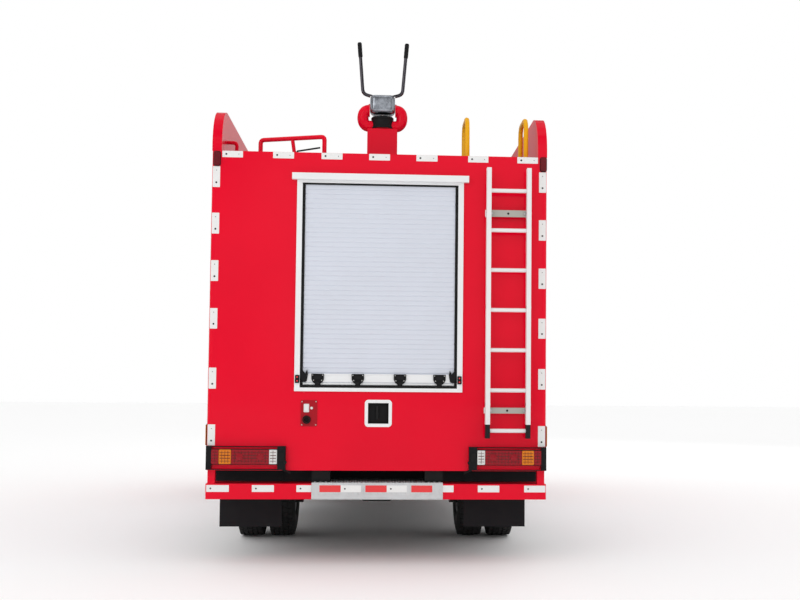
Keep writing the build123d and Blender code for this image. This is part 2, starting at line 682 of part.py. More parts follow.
with BuildPart() as front_wall:
    span_box(
        (-END_WALL_HALF, END_WALL_HALF),
        (BODY_FRONT_Y - WALL, BODY_FRONT_Y),
        (RAIL_TOP_Z + 5, ROOF_Z),
    )
    for side in (-1, 1):
        span_box(
            mirrored(side, LOCKER_IN_X, END_WALL_HALF),
            (BODY_FRONT_Y - WALL, BODY_FRONT_Y),
            (BODY_BOTTOM_Z, RAIL_TOP_Z + 5),
        )
front_wall.part.label = "front_wall"

# Roof deck inside the walls
with BuildPart() as roof_deck:
    span_box(
        (-(BODY_HALF - WALL), BODY_HALF - WALL),
        (TAIL_Y + POST, BODY_FRONT_Y - POST),
        DECK_Z,
    )
    for end_y, inward in ((TAIL_Y, 1), (BODY_FRONT_Y, -1)):
        y_span = tuple(sorted((end_y + inward * WALL, end_y + inward * POST)))
        span_box((-END_WALL_HALF, END_WALL_HALF), y_span, DECK_Z)
roof_deck.part.label = "roof_deck"

# Fairings along both edges of the roof, with quarter-round ends
with BuildPart() as roof_fairings:
    for side in (-1, 1):
        with BuildSketch(Plane.YZ.offset(side * (BODY_HALF - FAIRING_THICK))):
            with BuildLine():
                Polyline(
                    (TAIL_Y + FAIRING_R, ROOF_Z + FAIRING_HEIGHT),
                    (BODY_FRONT_Y - FAIRING_R, ROOF_Z + FAIRING_HEIGHT),
                )
                RadiusArc(
                    (BODY_FRONT_Y - FAIRING_R, ROOF_Z + FAIRING_HEIGHT),
                    (BODY_FRONT_Y, ROOF_Z + FAIRING_HEIGHT - FAIRING_R),
                    FAIRING_R,
                )
                Polyline(
                    (BODY_FRONT_Y, ROOF_Z + FAIRING_HEIGHT - FAIRING_R),
                    (BODY_FRONT_Y, ROOF_Z),
                    (TAIL_Y, ROOF_Z),
                    (TAIL_Y, ROOF_Z + FAIRING_HEIGHT - FAIRING_R),
                )
                RadiusArc(
                    (TAIL_Y, ROOF_Z + FAIRING_HEIGHT - FAIRING_R),
                    (TAIL_Y + FAIRING_R, ROOF_Z + FAIRING_HEIGHT),
                    FAIRING_R,
                )
            make_face()
        extrude(amount=side * FAIRING_THICK)
roof_fairings.part.label = "roof_fairings"

# Roller shutters: a frame in each bay and a slatted curtain between its jambs
JAMB = 40
FRAME_PROUD = 12
FRAME_LIP = 20
FRAME_DEPTH = 50
CURTAIN_BACK = 12  # the curtain's face behind the wall's face
CURTAIN_THICK = 10
SLAT = 36
SLAT_GROOVE = 3


def bay_plane(rear, front, bottom, top, side):
    """The plane of a side bay: X along the truck, Z outward from the wall."""
    centre = (side * BODY_HALF, TAIL_Y + (rear + front) / 2, (bottom + top) / 2)
    return Plane(origin=centre, x_dir=(0, side, 0), z_dir=(side, 0, 0))


REAR_BAY_PLANE = Plane(
    origin=(0, TAIL_Y, (REAR_BAY_Z[0] + REAR_BAY_Z[1]) / 2), x_dir=(1, 0, 0), z_dir=(0, -1, 0)
)


def add_shutter_frame(plane, width, height):
    """Jambs, head and sill that line a bay, with a lip over the wall's face."""
    with BuildSketch(plane) as lip:
        Rectangle(width + 2 * FRAME_LIP, height + 2 * FRAME_LIP)
        Rectangle(width - 2 * (JAMB - FRAME_LIP), height - 2 * (JAMB - FRAME_LIP), mode=Mode.SUBTRACT)
    extrude(lip.sketch, amount=FRAME_PROUD)
    with BuildSketch(plane.offset(-FRAME_DEPTH)) as lining:
        Rectangle(width, height)
        Rectangle(width - 2 * (JAMB - FRAME_LIP), height - 2 * (JAMB - FRAME_LIP), mode=Mode.SUBTRACT)
    extrude(lining.sketch, amount=FRAME_DEPTH)


with BuildPart() as rear_shutter_frame:
    add_shutter_frame(REAR_BAY_PLANE, 2 * REAR_BAY_HALF, REAR_BAY_Z[1] - REAR_BAY_Z[0])
    span_box(
        (-REAR_BAY_HALF - 56, REAR_BAY_HALF + 56),
        (TAIL_Y - 45, TAIL_Y),
        (REAR_BAY_Z[1], REAR_BAY_Z[1] + 48),
    )
rear_shutter_frame.part.label = "rear_shutter_frame"

REAR_CURTAIN_Z = (REAR_BAY_Z[0] + JAMB - FRAME_LIP, REAR_BAY_Z[1] - JAMB + FRAME_LIP)
REAR_CURTAIN_HALF = REAR_BAY_HALF - JAMB + FRAME_LIP
BOTTOM_BAR = 60
with BuildPart() as rear_shutter:
    slat_count = int((REAR_CURTAIN_Z[1] - REAR_CURTAIN_Z[0] - BOTTOM_BAR) / SLAT)
    face_y = TAIL_Y + CURTAIN_BACK
    outline = [
        (face_y + CURTAIN_THICK, REAR_CURTAIN_Z[1]),
        (face_y + CURTAIN_THICK, REAR_CURTAIN_Z[0]),
        (face_y - 4, REAR_CURTAIN_Z[0]),
        (face_y - 4, REAR_CURTAIN_Z[0] + BOTTOM_BAR),
        (face_y + SLAT_GROOVE, REAR_CURTAIN_Z[0] + BOTTOM_BAR),
    ]
    for index in range(slat_count):
        slat_z = REAR_CURTAIN_Z[0] + BOTTOM_BAR + index * SLAT
        outline += [(face_y, slat_z + 2 * SLAT_GROOVE), (face_y, slat_z + SLAT - SLAT_GROOVE)]
        outline += [(face_y + SLAT_GROOVE, slat_z + SLAT)]
    outline += [(face_y + SLAT_GROOVE, REAR_CURTAIN_Z[1])]
    with BuildSketch(Plane.YZ.offset(-REAR_CURTAIN_HALF)):
        with BuildLine():
            Polyline(*outline, close=True)
        make_face()
    extrude(amount=2 * REAR_CURTAIN_HALF)
rear_shutter.part.label = "rear_shutter"

with BuildPart() as side_shutter_frames:
    for side in (-1, 1):
        for rear, front, bottom, top in BAYS:
            add_shutter_frame(bay_plane(rear, front, bottom, top, side), front - rear, top - bottom)
side_shutter_frames.part.label = "side_shutter_frames"

with BuildPart() as side_shutters:
    inset = JAMB - FRAME_LIP
    for side in (-1, 1):
        face_x = BODY_HALF - CURTAIN_BACK
        for rear, front, bottom, top in BAYS:
            y_span = (TAIL_Y + rear + inset, TAIL_Y + front - inset)
            span_box(
                mirrored(side, face_x - CURTAIN_THICK, face_x),
                y_span,
                (bottom + inset + BOTTOM_BAR, top - inset),
            )
            span_box(
                mirrored(side, face_x - CURTAIN_THICK, face_x + 8),
                y_span,
                (bottom + inset, bottom + inset + BOTTOM_BAR),
            )
side_shutters.part.label = "side_shutters"

# Side guards between the axles, hung under the locker trays
GUARD_X = (BODY_HALF - 70, BODY_HALF - WALL)
GUARD_Y = (REAR_AXLE_Y + REAR_ARCH_R + 140, BODY_FRONT_Y - 60)
GUARD_BARS_Z = (400, 530)
GUARD_BAR = 70
with BuildPart() as side_guards:
    for side in (-1, 1):
        for bottom in GUARD_BARS_Z:
            span_box(mirrored(side, *GUARD_X), GUARD_Y, (bottom, bottom + GUARD_BAR))
        for y in (GUARD_Y[0] + 120, (GUARD_Y[0] + GUARD_Y[1]) / 2, GUARD_Y[1] - 120):
            span_box(mirrored(side, GUARD_X[0] - 30, GUARD_X[0]), (y - 30, y + 30), (GUARD_BARS_Z[0], BODY_BOTTOM_Z))
side_guards.part.label = "side_guards"

# Rear bumper: a folded channel, carried by two posts under the body's corners
REAR_BUMPER_DEPTH = 240
BUMPER_SHEET = 8
with BuildPart() as rear_bumper:
    with BuildSketch(Plane.YZ.offset(-BODY_HALF)):
        with BuildLine():
            Polyline(
                (TAIL_Y, REAR_BUMPER_Z[0]),
                (TAIL_Y, REAR_BUMPER_Z[1]),
                (TAIL_Y + REAR_BUMPER_DEPTH, REAR_BUMPER_Z[1]),
                (TAIL_Y + REAR_BUMPER_DEPTH, REAR_BUMPER_Z[1] - BUMPER_SHEET),
                (TAIL_Y + BUMPER_SHEET, REAR_BUMPER_Z[1] - BUMPER_SHEET),
                (TAIL_Y + BUMPER_SHEET, REAR_BUMPER_Z[0] + BUMPER_SHEET),
                (TAIL_Y + REAR_BUMPER_DEPTH / 3, REAR_BUMPER_Z[0] + BUMPER_SHEET),
                (TAIL_Y + REAR_BUMPER_DEPTH / 3, REAR_BUMPER_Z[0]),
                close=True,
            )
        make_face()
    extrude(amount=2 * BODY_HALF)
    for side in (-1, 1):
        span_box(
            mirrored(side, BODY_HALF - POST, BODY_HALF - 12),
            (TAIL_Y + 4, TAIL_Y + POST),
            (REAR_BUMPER_Z[1], BODY_BOTTOM_Z),
        )
rear_bumper.part.label = "rear_bumper"

# Rear step: a tread plate folded over the middle of the bumper
STEP_HALF = 482
STEP_DEPTH = 450
STEP_CORNER = 60
with BuildPart() as rear_step:
    span_box(
        (-STEP_HALF, STEP_HALF),
        (TAIL_Y - STEP_SHEET, TAIL_Y),
        (REAR_BUMPER_Z[0], REAR_BUMPER_Z[1] + STEP_SHEET),
    )
    with BuildSketch(Plane.XY.offset(REAR_BUMPER_Z[1])):
        with BuildLine():
            Polyline(
                (-STEP_HALF, TAIL_Y),
                (STEP_HALF, TAIL_Y),
                (STEP_HALF, TAIL_Y + STEP_DEPTH - STEP_CORNER),
                (STEP_HALF - STEP_CORNER, TAIL_Y + STEP_DEPTH),
                (-STEP_HALF + STEP_CORNER, TAIL_Y + STEP_DEPTH),
                (-STEP_HALF, TAIL_Y + STEP_DEPTH - STEP_CORNER),
                close=True,
            )
        make_face()
    extrude(amount=STEP_SHEET)
rear_step.part.label = "rear_step"

# Tail lamps in their guards
LAMP_X = (731, 1210)
LAMP_Z = (736, 847)
LAMP_DEPTH = 48
GUARD_LAMP_X = (672, 1246)
GUARD_LAMP_Z = (696, 868)
GUARD_ROD = 4
with BuildPart() as tail_lamps:
    for side in (-1, 1):
        span_box(mirrored(side, *LAMP_X), (TAIL_Y - LAMP_DEPTH, TAIL_Y), LAMP_Z)
        span_box(mirrored(side, GUARD_LAMP_X[0], LAMP_X[0]), (TAIL_Y - LAMP_DEPTH, TAIL_Y), GUARD_LAMP_Z)
        span_box(mirrored(side, LAMP_X[1], GUARD_LAMP_X[1]), (TAIL_Y - LAMP_DEPTH, TAIL_Y), GUARD_LAMP_Z)
        for z in (GUARD_LAMP_Z[0] + GUARD_ROD, GUARD_LAMP_Z[1] - GUARD_ROD):
            rod(
                (side * (GUARD_LAMP_X[0] + 5), TAIL_Y - LAMP_DEPTH + GUARD_ROD, z),
                (side * (GUARD_LAMP_X[1] - 5), TAIL_Y - LAMP_DEPTH + GUARD_ROD, z),
                GUARD_ROD,
            )
tail_lamps.part.label = "tail_lamps"

# Mud flaps behind the rear wheels, hung from a plate under each locker tray
# flaps: side, inner edge, outer edge
FLAPS = ((-1, BODY_HALF - 530, BODY_HALF - 61), (1, BODY_HALF - 586, BODY_HALF - 113))
HANGER_X = (FRAME_HALF + 60, BODY_HALF - POST)
FLAP_AHEAD = 350
FLAP_THICK = 8
FLAP_BOTTOM_Z = 240
HANGER_THICK = 30
HANGER_BOTTOM_Z = 572
with BuildPart() as mud_flaps:
    for side, inner_x, outer_x in FLAPS:
        y = TAIL_Y + FLAP_AHEAD
        span_box(mirrored(side, inner_x, outer_x), (y, y + FLAP_THICK), (FLAP_BOTTOM_Z, BODY_BOTTOM_Z))
        span_box(
            mirrored(side, *HANGER_X),
            (y + FLAP_THICK, y + FLAP_THICK + HANGER_THICK),
            (HANGER_BOTTOM_Z, BODY_BOTTOM_Z),
        )
mud_flaps.part.label = "mud_flaps"

# Rear ladder: two stiles, seven rungs and two bars that hold it to the rear wall
STILE_LEFT_X = (785, 819)
STILE_RIGHT_X = (1085, 1118)
STILE_DEPTH = 60
LADDER_Z = (935, 2942)
RUNG_R = 15
RUNG_TOP_Z = 2773
RUNG_PITCH = 297
RUNG_COUNT = int((RUNG_TOP_Z - LADDER_Z[0]) / RUNG_PITCH) + 1
LADDER_BARS = ((2581, 2632), (1117, 1160))
STILE_Y = (TAIL_Y - LADDER_REACH, TAIL_Y - LADDER_REACH + STILE_DEPTH)
with BuildPart() as rear_ladder:
    for x_span in (STILE_LEFT_X, STILE_RIGHT_X):
        span_box(x_span, STILE_Y, LADDER_Z)
    rung_y = (STILE_Y[0] + STILE_Y[1]) / 2
    for index in range(RUNG_COUNT):
        z = RUNG_TOP_Z - index * RUNG_PITCH
        rod((STILE_LEFT_X[1], rung_y, z), (STILE_RIGHT_X[0], rung_y, z), RUNG_R)
    for z_span in LADDER_BARS:
        span_box((STILE_LEFT_X[0] - 7, STILE_RIGHT_X[1] + 7), (STILE_Y[1], STILE_Y[1] + 6), z_span)
        for x in (STILE_LEFT_X[0] + 15, STILE_RIGHT_X[1] - 15):
            span_box((x - 15, x + 15), (STILE_Y[1] + 6, TAIL_Y), z_span)
rear_ladder.part.label = "rear_ladder"

# Hatch in the rear wall: a rounded frame and the pocket behind it
HATCH_FRAME_HALF = 100
HATCH_FRAME_R = 27
HATCH_PROUD = 6
HATCH_DEPTH = 70
HATCH_WALL = 4
with BuildPart() as rear_hatch:
    hatch_plane = Plane(origin=(0, TAIL_Y, HATCH_Z), x_dir=(1, 0, 0), z_dir=(0, -1, 0))
    with BuildSketch(hatch_plane):
        RectangleRounded(2 * HATCH_FRAME_HALF, 2 * HATCH_FRAME_HALF, HATCH_FRAME_R)
    extrude(amount=HATCH_PROUD)
    with BuildSketch(hatch_plane):
        Rectangle(2 * HATCH_HALF, 2 * HATCH_HALF)
    extrude(amount=-HATCH_DEPTH)
    with BuildSketch(hatch_plane.offset(HATCH_PROUD)):
        Rectangle(2 * (HATCH_HALF - HATCH_WALL), 2 * (HATCH_HALF - HATCH_WALL))
    extrude(amount=-(HATCH_PROUD + HATCH_DEPTH - HATCH_WALL), mode=Mode.SUBTRACT)
rear_hatch.part.label = "rear_hatch"

# Charging panel with its socket
PANEL_CENTRE = (-509, 1109)
PANEL_SIZE = (121, 191)
SOCKET_PLACE = (-526, 1062)
SOCKET_R = 27
with BuildPart() as charging_panel:
    panel_plane = Plane(origin=(0, TAIL_Y, 0), x_dir=(1, 0, 0), z_dir=(0, -1, 0))
    with BuildSketch(panel_plane):
        with Locations(PANEL_CENTRE):
            RectangleRounded(*PANEL_SIZE, 10)
    extrude(amount=5)
    with BuildSketch(panel_plane.offset(5)):
        with Locations(SOCKET_PLACE):
            Circle(SOCKET_R)
            Circle(SOCKET_R - 7, mode=Mode.SUBTRACT)
    extrude(amount=22)
charging_panel.part.label = "charging_panel"

# Rails on the roof: a low red guard at the left and two yellow grab hoops over the ladder
DECK_TOP = DECK_Z[1]
RAIL_TUBE_R = 17
GUARD_TOP = 3190
# posts of the low guard: X, distance ahead of the rear wall
GUARD_POSTS = ((-925, 300), (-430, 120), (-440, 320))
GUARD_LEAN = 22  # how far the middle post leans to the right on its way down
# the short bracket beside the left fairing: X from the fairing to the post, Z, distance ahead
BRACKET_X = (-(BODY_HALF - FAIRING_THICK), -1105)
BRACKET_Z = 3165
BRACKET_AHEAD = 300
with BuildPart() as roof_rail:
    left, right, back = [(x, TAIL_Y + ahead) for x, ahead in GUARD_POSTS]
    middle = ((left[0] + right[0]) / 2, (left[1] + right[1]) / 2)
    bent_tube(
        [(*left, DECK_TOP), (*left, GUARD_TOP), (*right, GUARD_TOP), (*right, DECK_TOP)],
        24,
        RAIL_TUBE_R,
    )
    rod((middle[0] + GUARD_LEAN, middle[1], DECK_TOP + 3), (*middle, GUARD_TOP), RAIL_TUBE_R - 3)
    rod((*back, DECK_TOP), (*back, GUARD_TOP - 40), RAIL_TUBE_R - 3)
    rod((*back, GUARD_TOP - 55), (right[0], right[1], GUARD_TOP - 55), RAIL_TUBE_R - 4)
    bracket_y = TAIL_Y + BRACKET_AHEAD
    bent_tube(
        [(BRACKET_X[0], bracket_y, BRACKET_Z), (BRACKET_X[1], bracket_y, BRACKET_Z), (BRACKET_X[1], bracket_y, DECK_TOP)],
        24,
        RAIL_TUBE_R - 3,
    )
roof_rail.part.label = "roof_rail"

HOOP_TUBE_R = 18
HOOP_TOP = 3360
HOOP_AHEAD = (100, 440)
HOOP_IN = (599, 150)  # each hoop's distance inside the body's right side
with BuildPart() as roof_hoops:
    for inward in HOOP_IN:
        x = BODY_HALF - inward
        near_y, far_y = [TAIL_Y + ahead for ahead in HOOP_AHEAD]
        bent_tube(
            [(x, near_y, DECK_TOP), (x, near_y, HOOP_TOP), (x, far_y, HOOP_TOP), (x, far_y, DECK_TOP)],
            80,
            HOOP_TUBE_R,
        )
        for y in (near_y, far_y):
            with Locations((x, y, DECK_TOP + 4)):
                Box(2 * HOOP_TUBE_R + 28, 2 * HOOP_TUBE_R + 28, 8)
roof_hoops.part.label = "roof_hoops"

# Foam monitor: a pedestal, a turret with two ram's-horn bends, and a barrel that tips
MONITOR_X = 7
MONITOR_AHEAD = 620
MONITOR_Y = TAIL_Y + MONITOR_AHEAD
PEDESTAL_TOP = 3355
PEDESTAL_HALF_X = 119
PEDESTAL_HALF_Y = 80
SPIGOT_R = 40
SPIGOT_HEIGHT = 45
with BuildPart() as monitor_pedestal:
    span_box(
        (MONITOR_X - PEDESTAL_HALF_X, MONITOR_X + PEDESTAL_HALF_X),
        (MONITOR_Y - PEDESTAL_HALF_Y, MONITOR_Y + PEDESTAL_HALF_Y),
        (DECK_TOP, PEDESTAL_TOP),
    )
    rod((MONITOR_X, MONITOR_Y, PEDESTAL_TOP), (MONITOR_X, MONITOR_Y, PEDESTAL_TOP + SPIGOT_HEIGHT), SPIGOT_R)
monitor_pedestal.part.label = "monitor_pedestal"

SWIVEL_R = 84
PITCH_Z = 3556
TURRET_Z = (PEDESTAL_TOP + RUN_GAP, PITCH_Z - 100)
HORN_R = 36
HORN_BEND = 38.5
HORN_X = 150
HUB_LENGTH_HALF = 100
HEAD_HALF = 78  # half the head's height and depth
HEAD_CORNER_R = 50
TRUNNION_R = 25
with BuildPart() as monitor_turret:
    rod((MONITOR_X, MONITOR_Y, TURRET_Z[0]), (MONITOR_X, MONITOR_Y, TURRET_Z[1]), SWIVEL_R)
    for side in (-1, 1):
        horn_low_z = TURRET_Z[0] + HORN_R
        bent_tube(
            [
                (MONITOR_X + side * 60, MONITOR_Y, horn_low_z),
                (MONITOR_X + side * HORN_X, MONITOR_Y, horn_low_z),
                (MONITOR_X + side * HORN_X, MONITOR_Y, PITCH_Z),
                (MONITOR_X + side * (HUB_LENGTH_HALF + RUN_GAP), MONITOR_Y, PITCH_Z),
            ],
            HORN_BEND,
            HORN_R,
            16,
        )
        rod(
            (MONITOR_X + side * (HUB_LENGTH_HALF + RUN_GAP), MONITOR_Y, PITCH_Z),
            (MONITOR_X + side * (HUB_LENGTH_HALF - 30), MONITOR_Y, PITCH_Z),
            TRUNNION_R,
        )
    with Locations((MONITOR_X, MONITOR_Y, TURRET_Z[0])):
        Cylinder(SPIGOT_R + PIN_GAP, 2 * (SPIGOT_HEIGHT + 2), mode=Mode.SUBTRACT)
monitor_turret.part.label = "monitor_turret"

BARREL_REACH = 590
BARREL_R = 46
OUTLET_R = 35
OUTLET_DEPTH = 120
with BuildPart() as monitor_barrel:
    # the cast head that turns between the horns
    with BuildSketch(Plane.YZ.offset(MONITOR_X - HUB_LENGTH_HALF)):
        with Locations((MONITOR_Y, PITCH_Z)):
            RectangleRounded(2 * HEAD_HALF, 2 * HEAD_HALF, HEAD_CORNER_R)
    extrude(amount=2 * HUB_LENGTH_HALF)
    with BuildSketch(Plane(origin=(MONITOR_X, MONITOR_Y, PITCH_Z), x_dir=(1, 0, 0), z_dir=(0, 0, 1))):
        with BuildLine():
            Polyline(
                (0, 0),
                (BARREL_R + 8, 0),
                (BARREL_R + 8, 180),
                (BARREL_R, 210),
                (BARREL_R - 6, BARREL_REACH - 60),
                (BARREL_R, BARREL_REACH - 50),
                (BARREL_R, BARREL_REACH),
                (0, BARREL_REACH),
                close=True,
            )
        make_face()
    revolve(axis=Axis((MONITOR_X, MONITOR_Y, PITCH_Z), (0, 1, 0)))
    rod(
        (MONITOR_X, MONITOR_Y + BARREL_REACH, PITCH_Z),
        (MONITOR_X, MONITOR_Y + BARREL_REACH - OUTLET_DEPTH, PITCH_Z),
        OUTLET_R,
        mode=Mode.SUBTRACT,
    )
    rod(
        (MONITOR_X - 2 * HUB_LENGTH_HALF, MONITOR_Y, PITCH_Z),
        (MONITOR_X - HUB_LENGTH_HALF + 31, MONITOR_Y, PITCH_Z),
        TRUNNION_R + PIN_GAP,
        mode=Mode.SUBTRACT,
    )
    rod(
        (MONITOR_X + 2 * HUB_LENGTH_HALF, MONITOR_Y, PITCH_Z),
        (MONITOR_X + HUB_LENGTH_HALF - 31, MONITOR_Y, PITCH_Z),
        TRUNNION_R + PIN_GAP,
        mode=Mode.SUBTRACT,
    )
monitor_barrel.part.label = "monitor_barrel"

HANDLE_R = 14
# the right handlebar from the hub to its tip: X from the monitor's middle, Z
HANDLE_ROOT = (HUB_LENGTH_HALF - 30, PITCH_Z + HEAD_HALF)
HANDLE_BEND = (158, 3650)
HANDLE_TIP = (191, 4066)
HANDLE_BEND_R = 45
with BuildPart() as monitor_handles:
    for side in (-1, 1):
        bent_tube(
            [
                (MONITOR_X + side * HANDLE_ROOT[0], MONITOR_Y, HANDLE_ROOT[1] - 8),
                (MONITOR_X + side * HANDLE_BEND[0], MONITOR_Y, HANDLE_BEND[1]),
                (MONITOR_X + side * HANDLE_TIP[0], MONITOR_Y, HANDLE_TIP[1]),
            ],
            HANDLE_BEND_R,
            HANDLE_R,
        )
    add(monitor_barrel.part, mode=Mode.SUBTRACT)
monitor_handles.part.label = "monitor_handles"

# Front bumper, curved round the corners, with its lamps let in
with BuildPart() as front_bumper:
    wrap_y = NOSE_Y - FRONT_BUMPER_WRAP
    with BuildSketch(Plane.XY.offset(FRONT_BUMPER_Z[0])):
        with Locations((0, NOSE_Y - FRONT_BUMPER_WRAP)):
            RectangleRounded(2 * FRONT_BUMPER_HALF, 2 * FRONT_BUMPER_WRAP, 160)
        with Locations((0, NOSE_Y - FRONT_BUMPER_WRAP)):
            RectangleRounded(
                2 * (FRONT_BUMPER_HALF - FRONT_BUMPER_THICK),
                2 * (FRONT_BUMPER_WRAP - FRONT_BUMPER_THICK),
                90,
                mode=Mode.SUBTRACT,
            )
        with Locations((0, wrap_y - FRONT_BUMPER_WRAP)):
            Rectangle(3 * FRONT_BUMPER_HALF, 2 * FRONT_BUMPER_WRAP, mode=Mode.SUBTRACT)
    extrude(amount=FRONT_BUMPER_Z[1] - FRONT_BUMPER_Z[0])
    for side in (-1, 1):
        span_box(
            mirrored(side, 720, 1020),
            (NOSE_Y - 25, NOSE_Y + 10),
            (FRONT_BUMPER_Z[0] + 90, FRONT_BUMPER_Z[1] - 60),
            mode=Mode.SUBTRACT,
        )
front_bumper.part.label = "front_bumper"

with BuildPart() as headlamps:
    for side in (-1, 1):
        span_box(
            mirrored(side, 720, 1020),
            (NOSE_Y - 25, NOSE_Y - 2),
            (FRONT_BUMPER_Z[0] + 90, FRONT_BUMPER_Z[1] - 60),
        )
headlamps.part.label = "headlamps"

# Entry steps and mudguards on each side, ahead of and behind the front wheel
STEP_BOX_X = (850, 1195)
STEP_BOX_Z = (480, 1080)
STEP_RECESS = 170
with BuildPart() as cab_steps:
    for side in (-1, 1):
        for y_span in ((FRONT_AXLE_Y, NOSE_Y - FRONT_BUMPER_WRAP), (CAB_REAR_Y, FRONT_AXLE_Y)):
            span_box(mirrored(side, *STEP_BOX_X), y_span, STEP_BOX_Z)
        with BuildSketch(Plane.YZ.offset(side * (STEP_BOX_X[0] - 10))):
            with Locations((FRONT_AXLE_Y, TYRE_R)):
                Circle(FRONT_ARCH_R)
            with Locations((FRONT_AXLE_Y, TYRE_R + FRONT_ARCH_R / 2)):
                Rectangle(FRONT_ARCH_R, FRONT_ARCH_R)
        extrude(amount=side * (STEP_BOX_X[1] - STEP_BOX_X[0] + 20), mode=Mode.SUBTRACT)
        # two treads cut into each box
        front_edge = NOSE_Y - FRONT_BUMPER_WRAP
        for y_span in ((front_edge - 300, front_edge - 60), (CAB_REAR_Y + 80, CAB_REAR_Y + 540)):
            for z_span in ((540, 740), (790, 1000)):
                span_box(
                    mirrored(side, STEP_BOX_X[1] - STEP_RECESS, STEP_BOX_X[1] + 20),
                    y_span,
                    z_span,
                    mode=Mode.SUBTRACT,
                )
        span_box(
            mirrored(side, FRAME_HALF, STEP_BOX_X[0]),
            (CAB_REAR_Y + 200, CAB_REAR_Y + 280),
            (RAIL_BOTTOM_Z + 40, RAIL_BOTTOM_Z + 120),
        )
cab_steps.part.label = "cab_steps"

# Cab


def cab_block(inset):
    """The cab's outer form, drawn in by inset on every face."""
    with BuildPart() as block:
        with BuildSketch(Plane.XY.offset(CAB_FLOOR_Z - 10)) as plan:
            with Locations((0, (CAB_FRONT_Y + CAB_REAR_Y) / 2)):
                Rectangle(2 * (CAB_HALF - inset), CAB_LENGTH - 2 * inset)
            fillet(plan.vertices().group_by(Axis.Y)[-1], CAB_CORNER_R - inset)
        extrude(plan.sketch, amount=CAB_ROOF_Z)
        with BuildSketch(Plane.YZ.offset(-2 * CAB_HALF)) as side_view:
            with BuildLine():
                Polyline(
                    (CAB_REAR_Y, CAB_FLOOR_Z),
                    (CAB_FRONT_Y, CAB_FLOOR_Z),
                    (CAB_FRONT_Y, SCREEN_BASE_Z),
                    (CAB_FRONT_Y - SCREEN_RAKE, SCREEN_TOP_Z),
                    (CAB_FRONT_Y - SCREEN_RAKE - 180, CAB_ROOF_Z),
                    (CAB_REAR_Y, CAB_ROOF_Z),
                    close=True,
                )
            make_face()
            if inset:
                offset(amount=-inset, kind=Kind.INTERSECTION, mode=Mode.REPLACE)
        extrude(side_view.sketch, amount=4 * CAB_HALF, mode=Mode.INTERSECT)
        with BuildSketch(Plane.XZ.offset(-CAB_FRONT_Y - 500)) as front_view:
            with BuildLine():
                Polyline(
                    (-CAB_HALF, CAB_FLOOR_Z),
                    (CAB_HALF, CAB_FLOOR_Z),
                    (CAB_HALF, CAB_WAIST_Z),
                    (CAB_HALF - CAB_LEAN, CAB_ROOF_Z),
                    (-CAB_HALF + CAB_LEAN, CAB_ROOF_Z),
                    (-CAB_HALF, CAB_WAIST_Z),
                    close=True,
                )
            make_face()
            fillet(front_view.vertices().group_by(Axis.Y)[-1], 100)
            if inset:
                offset(amount=-inset, kind=Kind.INTERSECTION, mode=Mode.REPLACE)
        extrude(front_view.sketch, amount=CAB_LENGTH + 1000, mode=Mode.INTERSECT)
    return block.part


# door outlines on the cab's side: (Y behind the cab's face, Z), rear edge and front edge
FRONT_DOOR = (
    (250, DOOR_BOTTOM_Z),
    (250, CAB_WAIST_Z),
    (470, DOOR_TOP_Z),
    (1190, DOOR_TOP_Z),
    (1190, DOOR_BOTTOM_Z),
)
REAR_DOOR = (
    (1310, DOOR_BOTTOM_Z),
    (1310, DOOR_TOP_Z),
    (2290, DOOR_TOP_Z),
    (2290, DOOR_BOTTOM_Z),
)
FRONT_WINDOW = (
    (250 + WINDOW_MARGIN + 20, CAB_WAIST_Z + 20),
    (470 + WINDOW_MARGIN, DOOR_TOP_Z - WINDOW_MARGIN),
    (1190 - WINDOW_MARGIN, DOOR_TOP_Z - WINDOW_MARGIN),
    (1190 - WINDOW_MARGIN, CAB_WAIST_Z + 20),
)
REAR_WINDOW = (
    (1310 + WINDOW_MARGIN, CAB_WAIST_Z + 20),
    (1310 + WINDOW_MARGIN, DOOR_TOP_Z - WINDOW_MARGIN),
    (2290 - WINDOW_MARGIN, DOOR_TOP_Z - WINDOW_MARGIN),
    (2290 - WINDOW_MARGIN, CAB_WAIST_Z + 20),
)


def side_prism(outline, grow, side, round_r=0):
    """A block through one side of the cab, from an outline grown by a margin."""
    with BuildPart() as prism:
        with BuildSketch(Plane.YZ.offset(side * (CAB_HALF - 300))) as shape:
            with BuildLine():
                Polyline(*[(CAB_FRONT_Y - back, z) for back, z in outline], close=True)
            make_face()
            if round_r:
                fillet(shape.vertices(), round_r)
            if grow:
                offset(amount=grow, kind=Kind.INTERSECTION, mode=Mode.REPLACE)
        extrude(shape.sketch, amount=side * 400)
    return prism.part


def screen_prism(grow):
    """A block through the windscreen's opening."""
    with BuildPart() as prism:
        with BuildSketch(Plane.XZ.offset(-CAB_FRONT_Y - 50)) as shape:
            with BuildLine():
                Polyline(
                    (-1060, SCREEN_BASE_Z + 60),
                    (1060, SCREEN_BASE_Z + 60),
                    (1030, SCREEN_TOP_Z - 50),
                    (-1030, SCREEN_TOP_Z - 50),
                    close=True,
                )
            make_face()
            fillet(shape.vertices(), 60)
            if grow:
                offset(amount=grow, kind=Kind.INTERSECTION, mode=Mode.REPLACE)
        extrude(shape.sketch, amount=600)
    return prism.part


outer_block = cab_block(0)
shell_solid = outer_block - cab_block(CAB_WALL)
door_skin = outer_block - cab_block(DOOR_THICK)
glass_skin = cab_block(GLASS_INSET) - cab_block(GLASS_INSET + GLASS_THICK)

# the doors: name, side, outline, window outline
DOORS = (
    ("front_left", -1, FRONT_DOOR, FRONT_WINDOW),
    ("front_right", 1, FRONT_DOOR, FRONT_WINDOW),
    ("rear_left", -1, REAR_DOOR, REAR_WINDOW),
    ("rear_right", 1, REAR_DOOR, REAR_WINDOW),
)


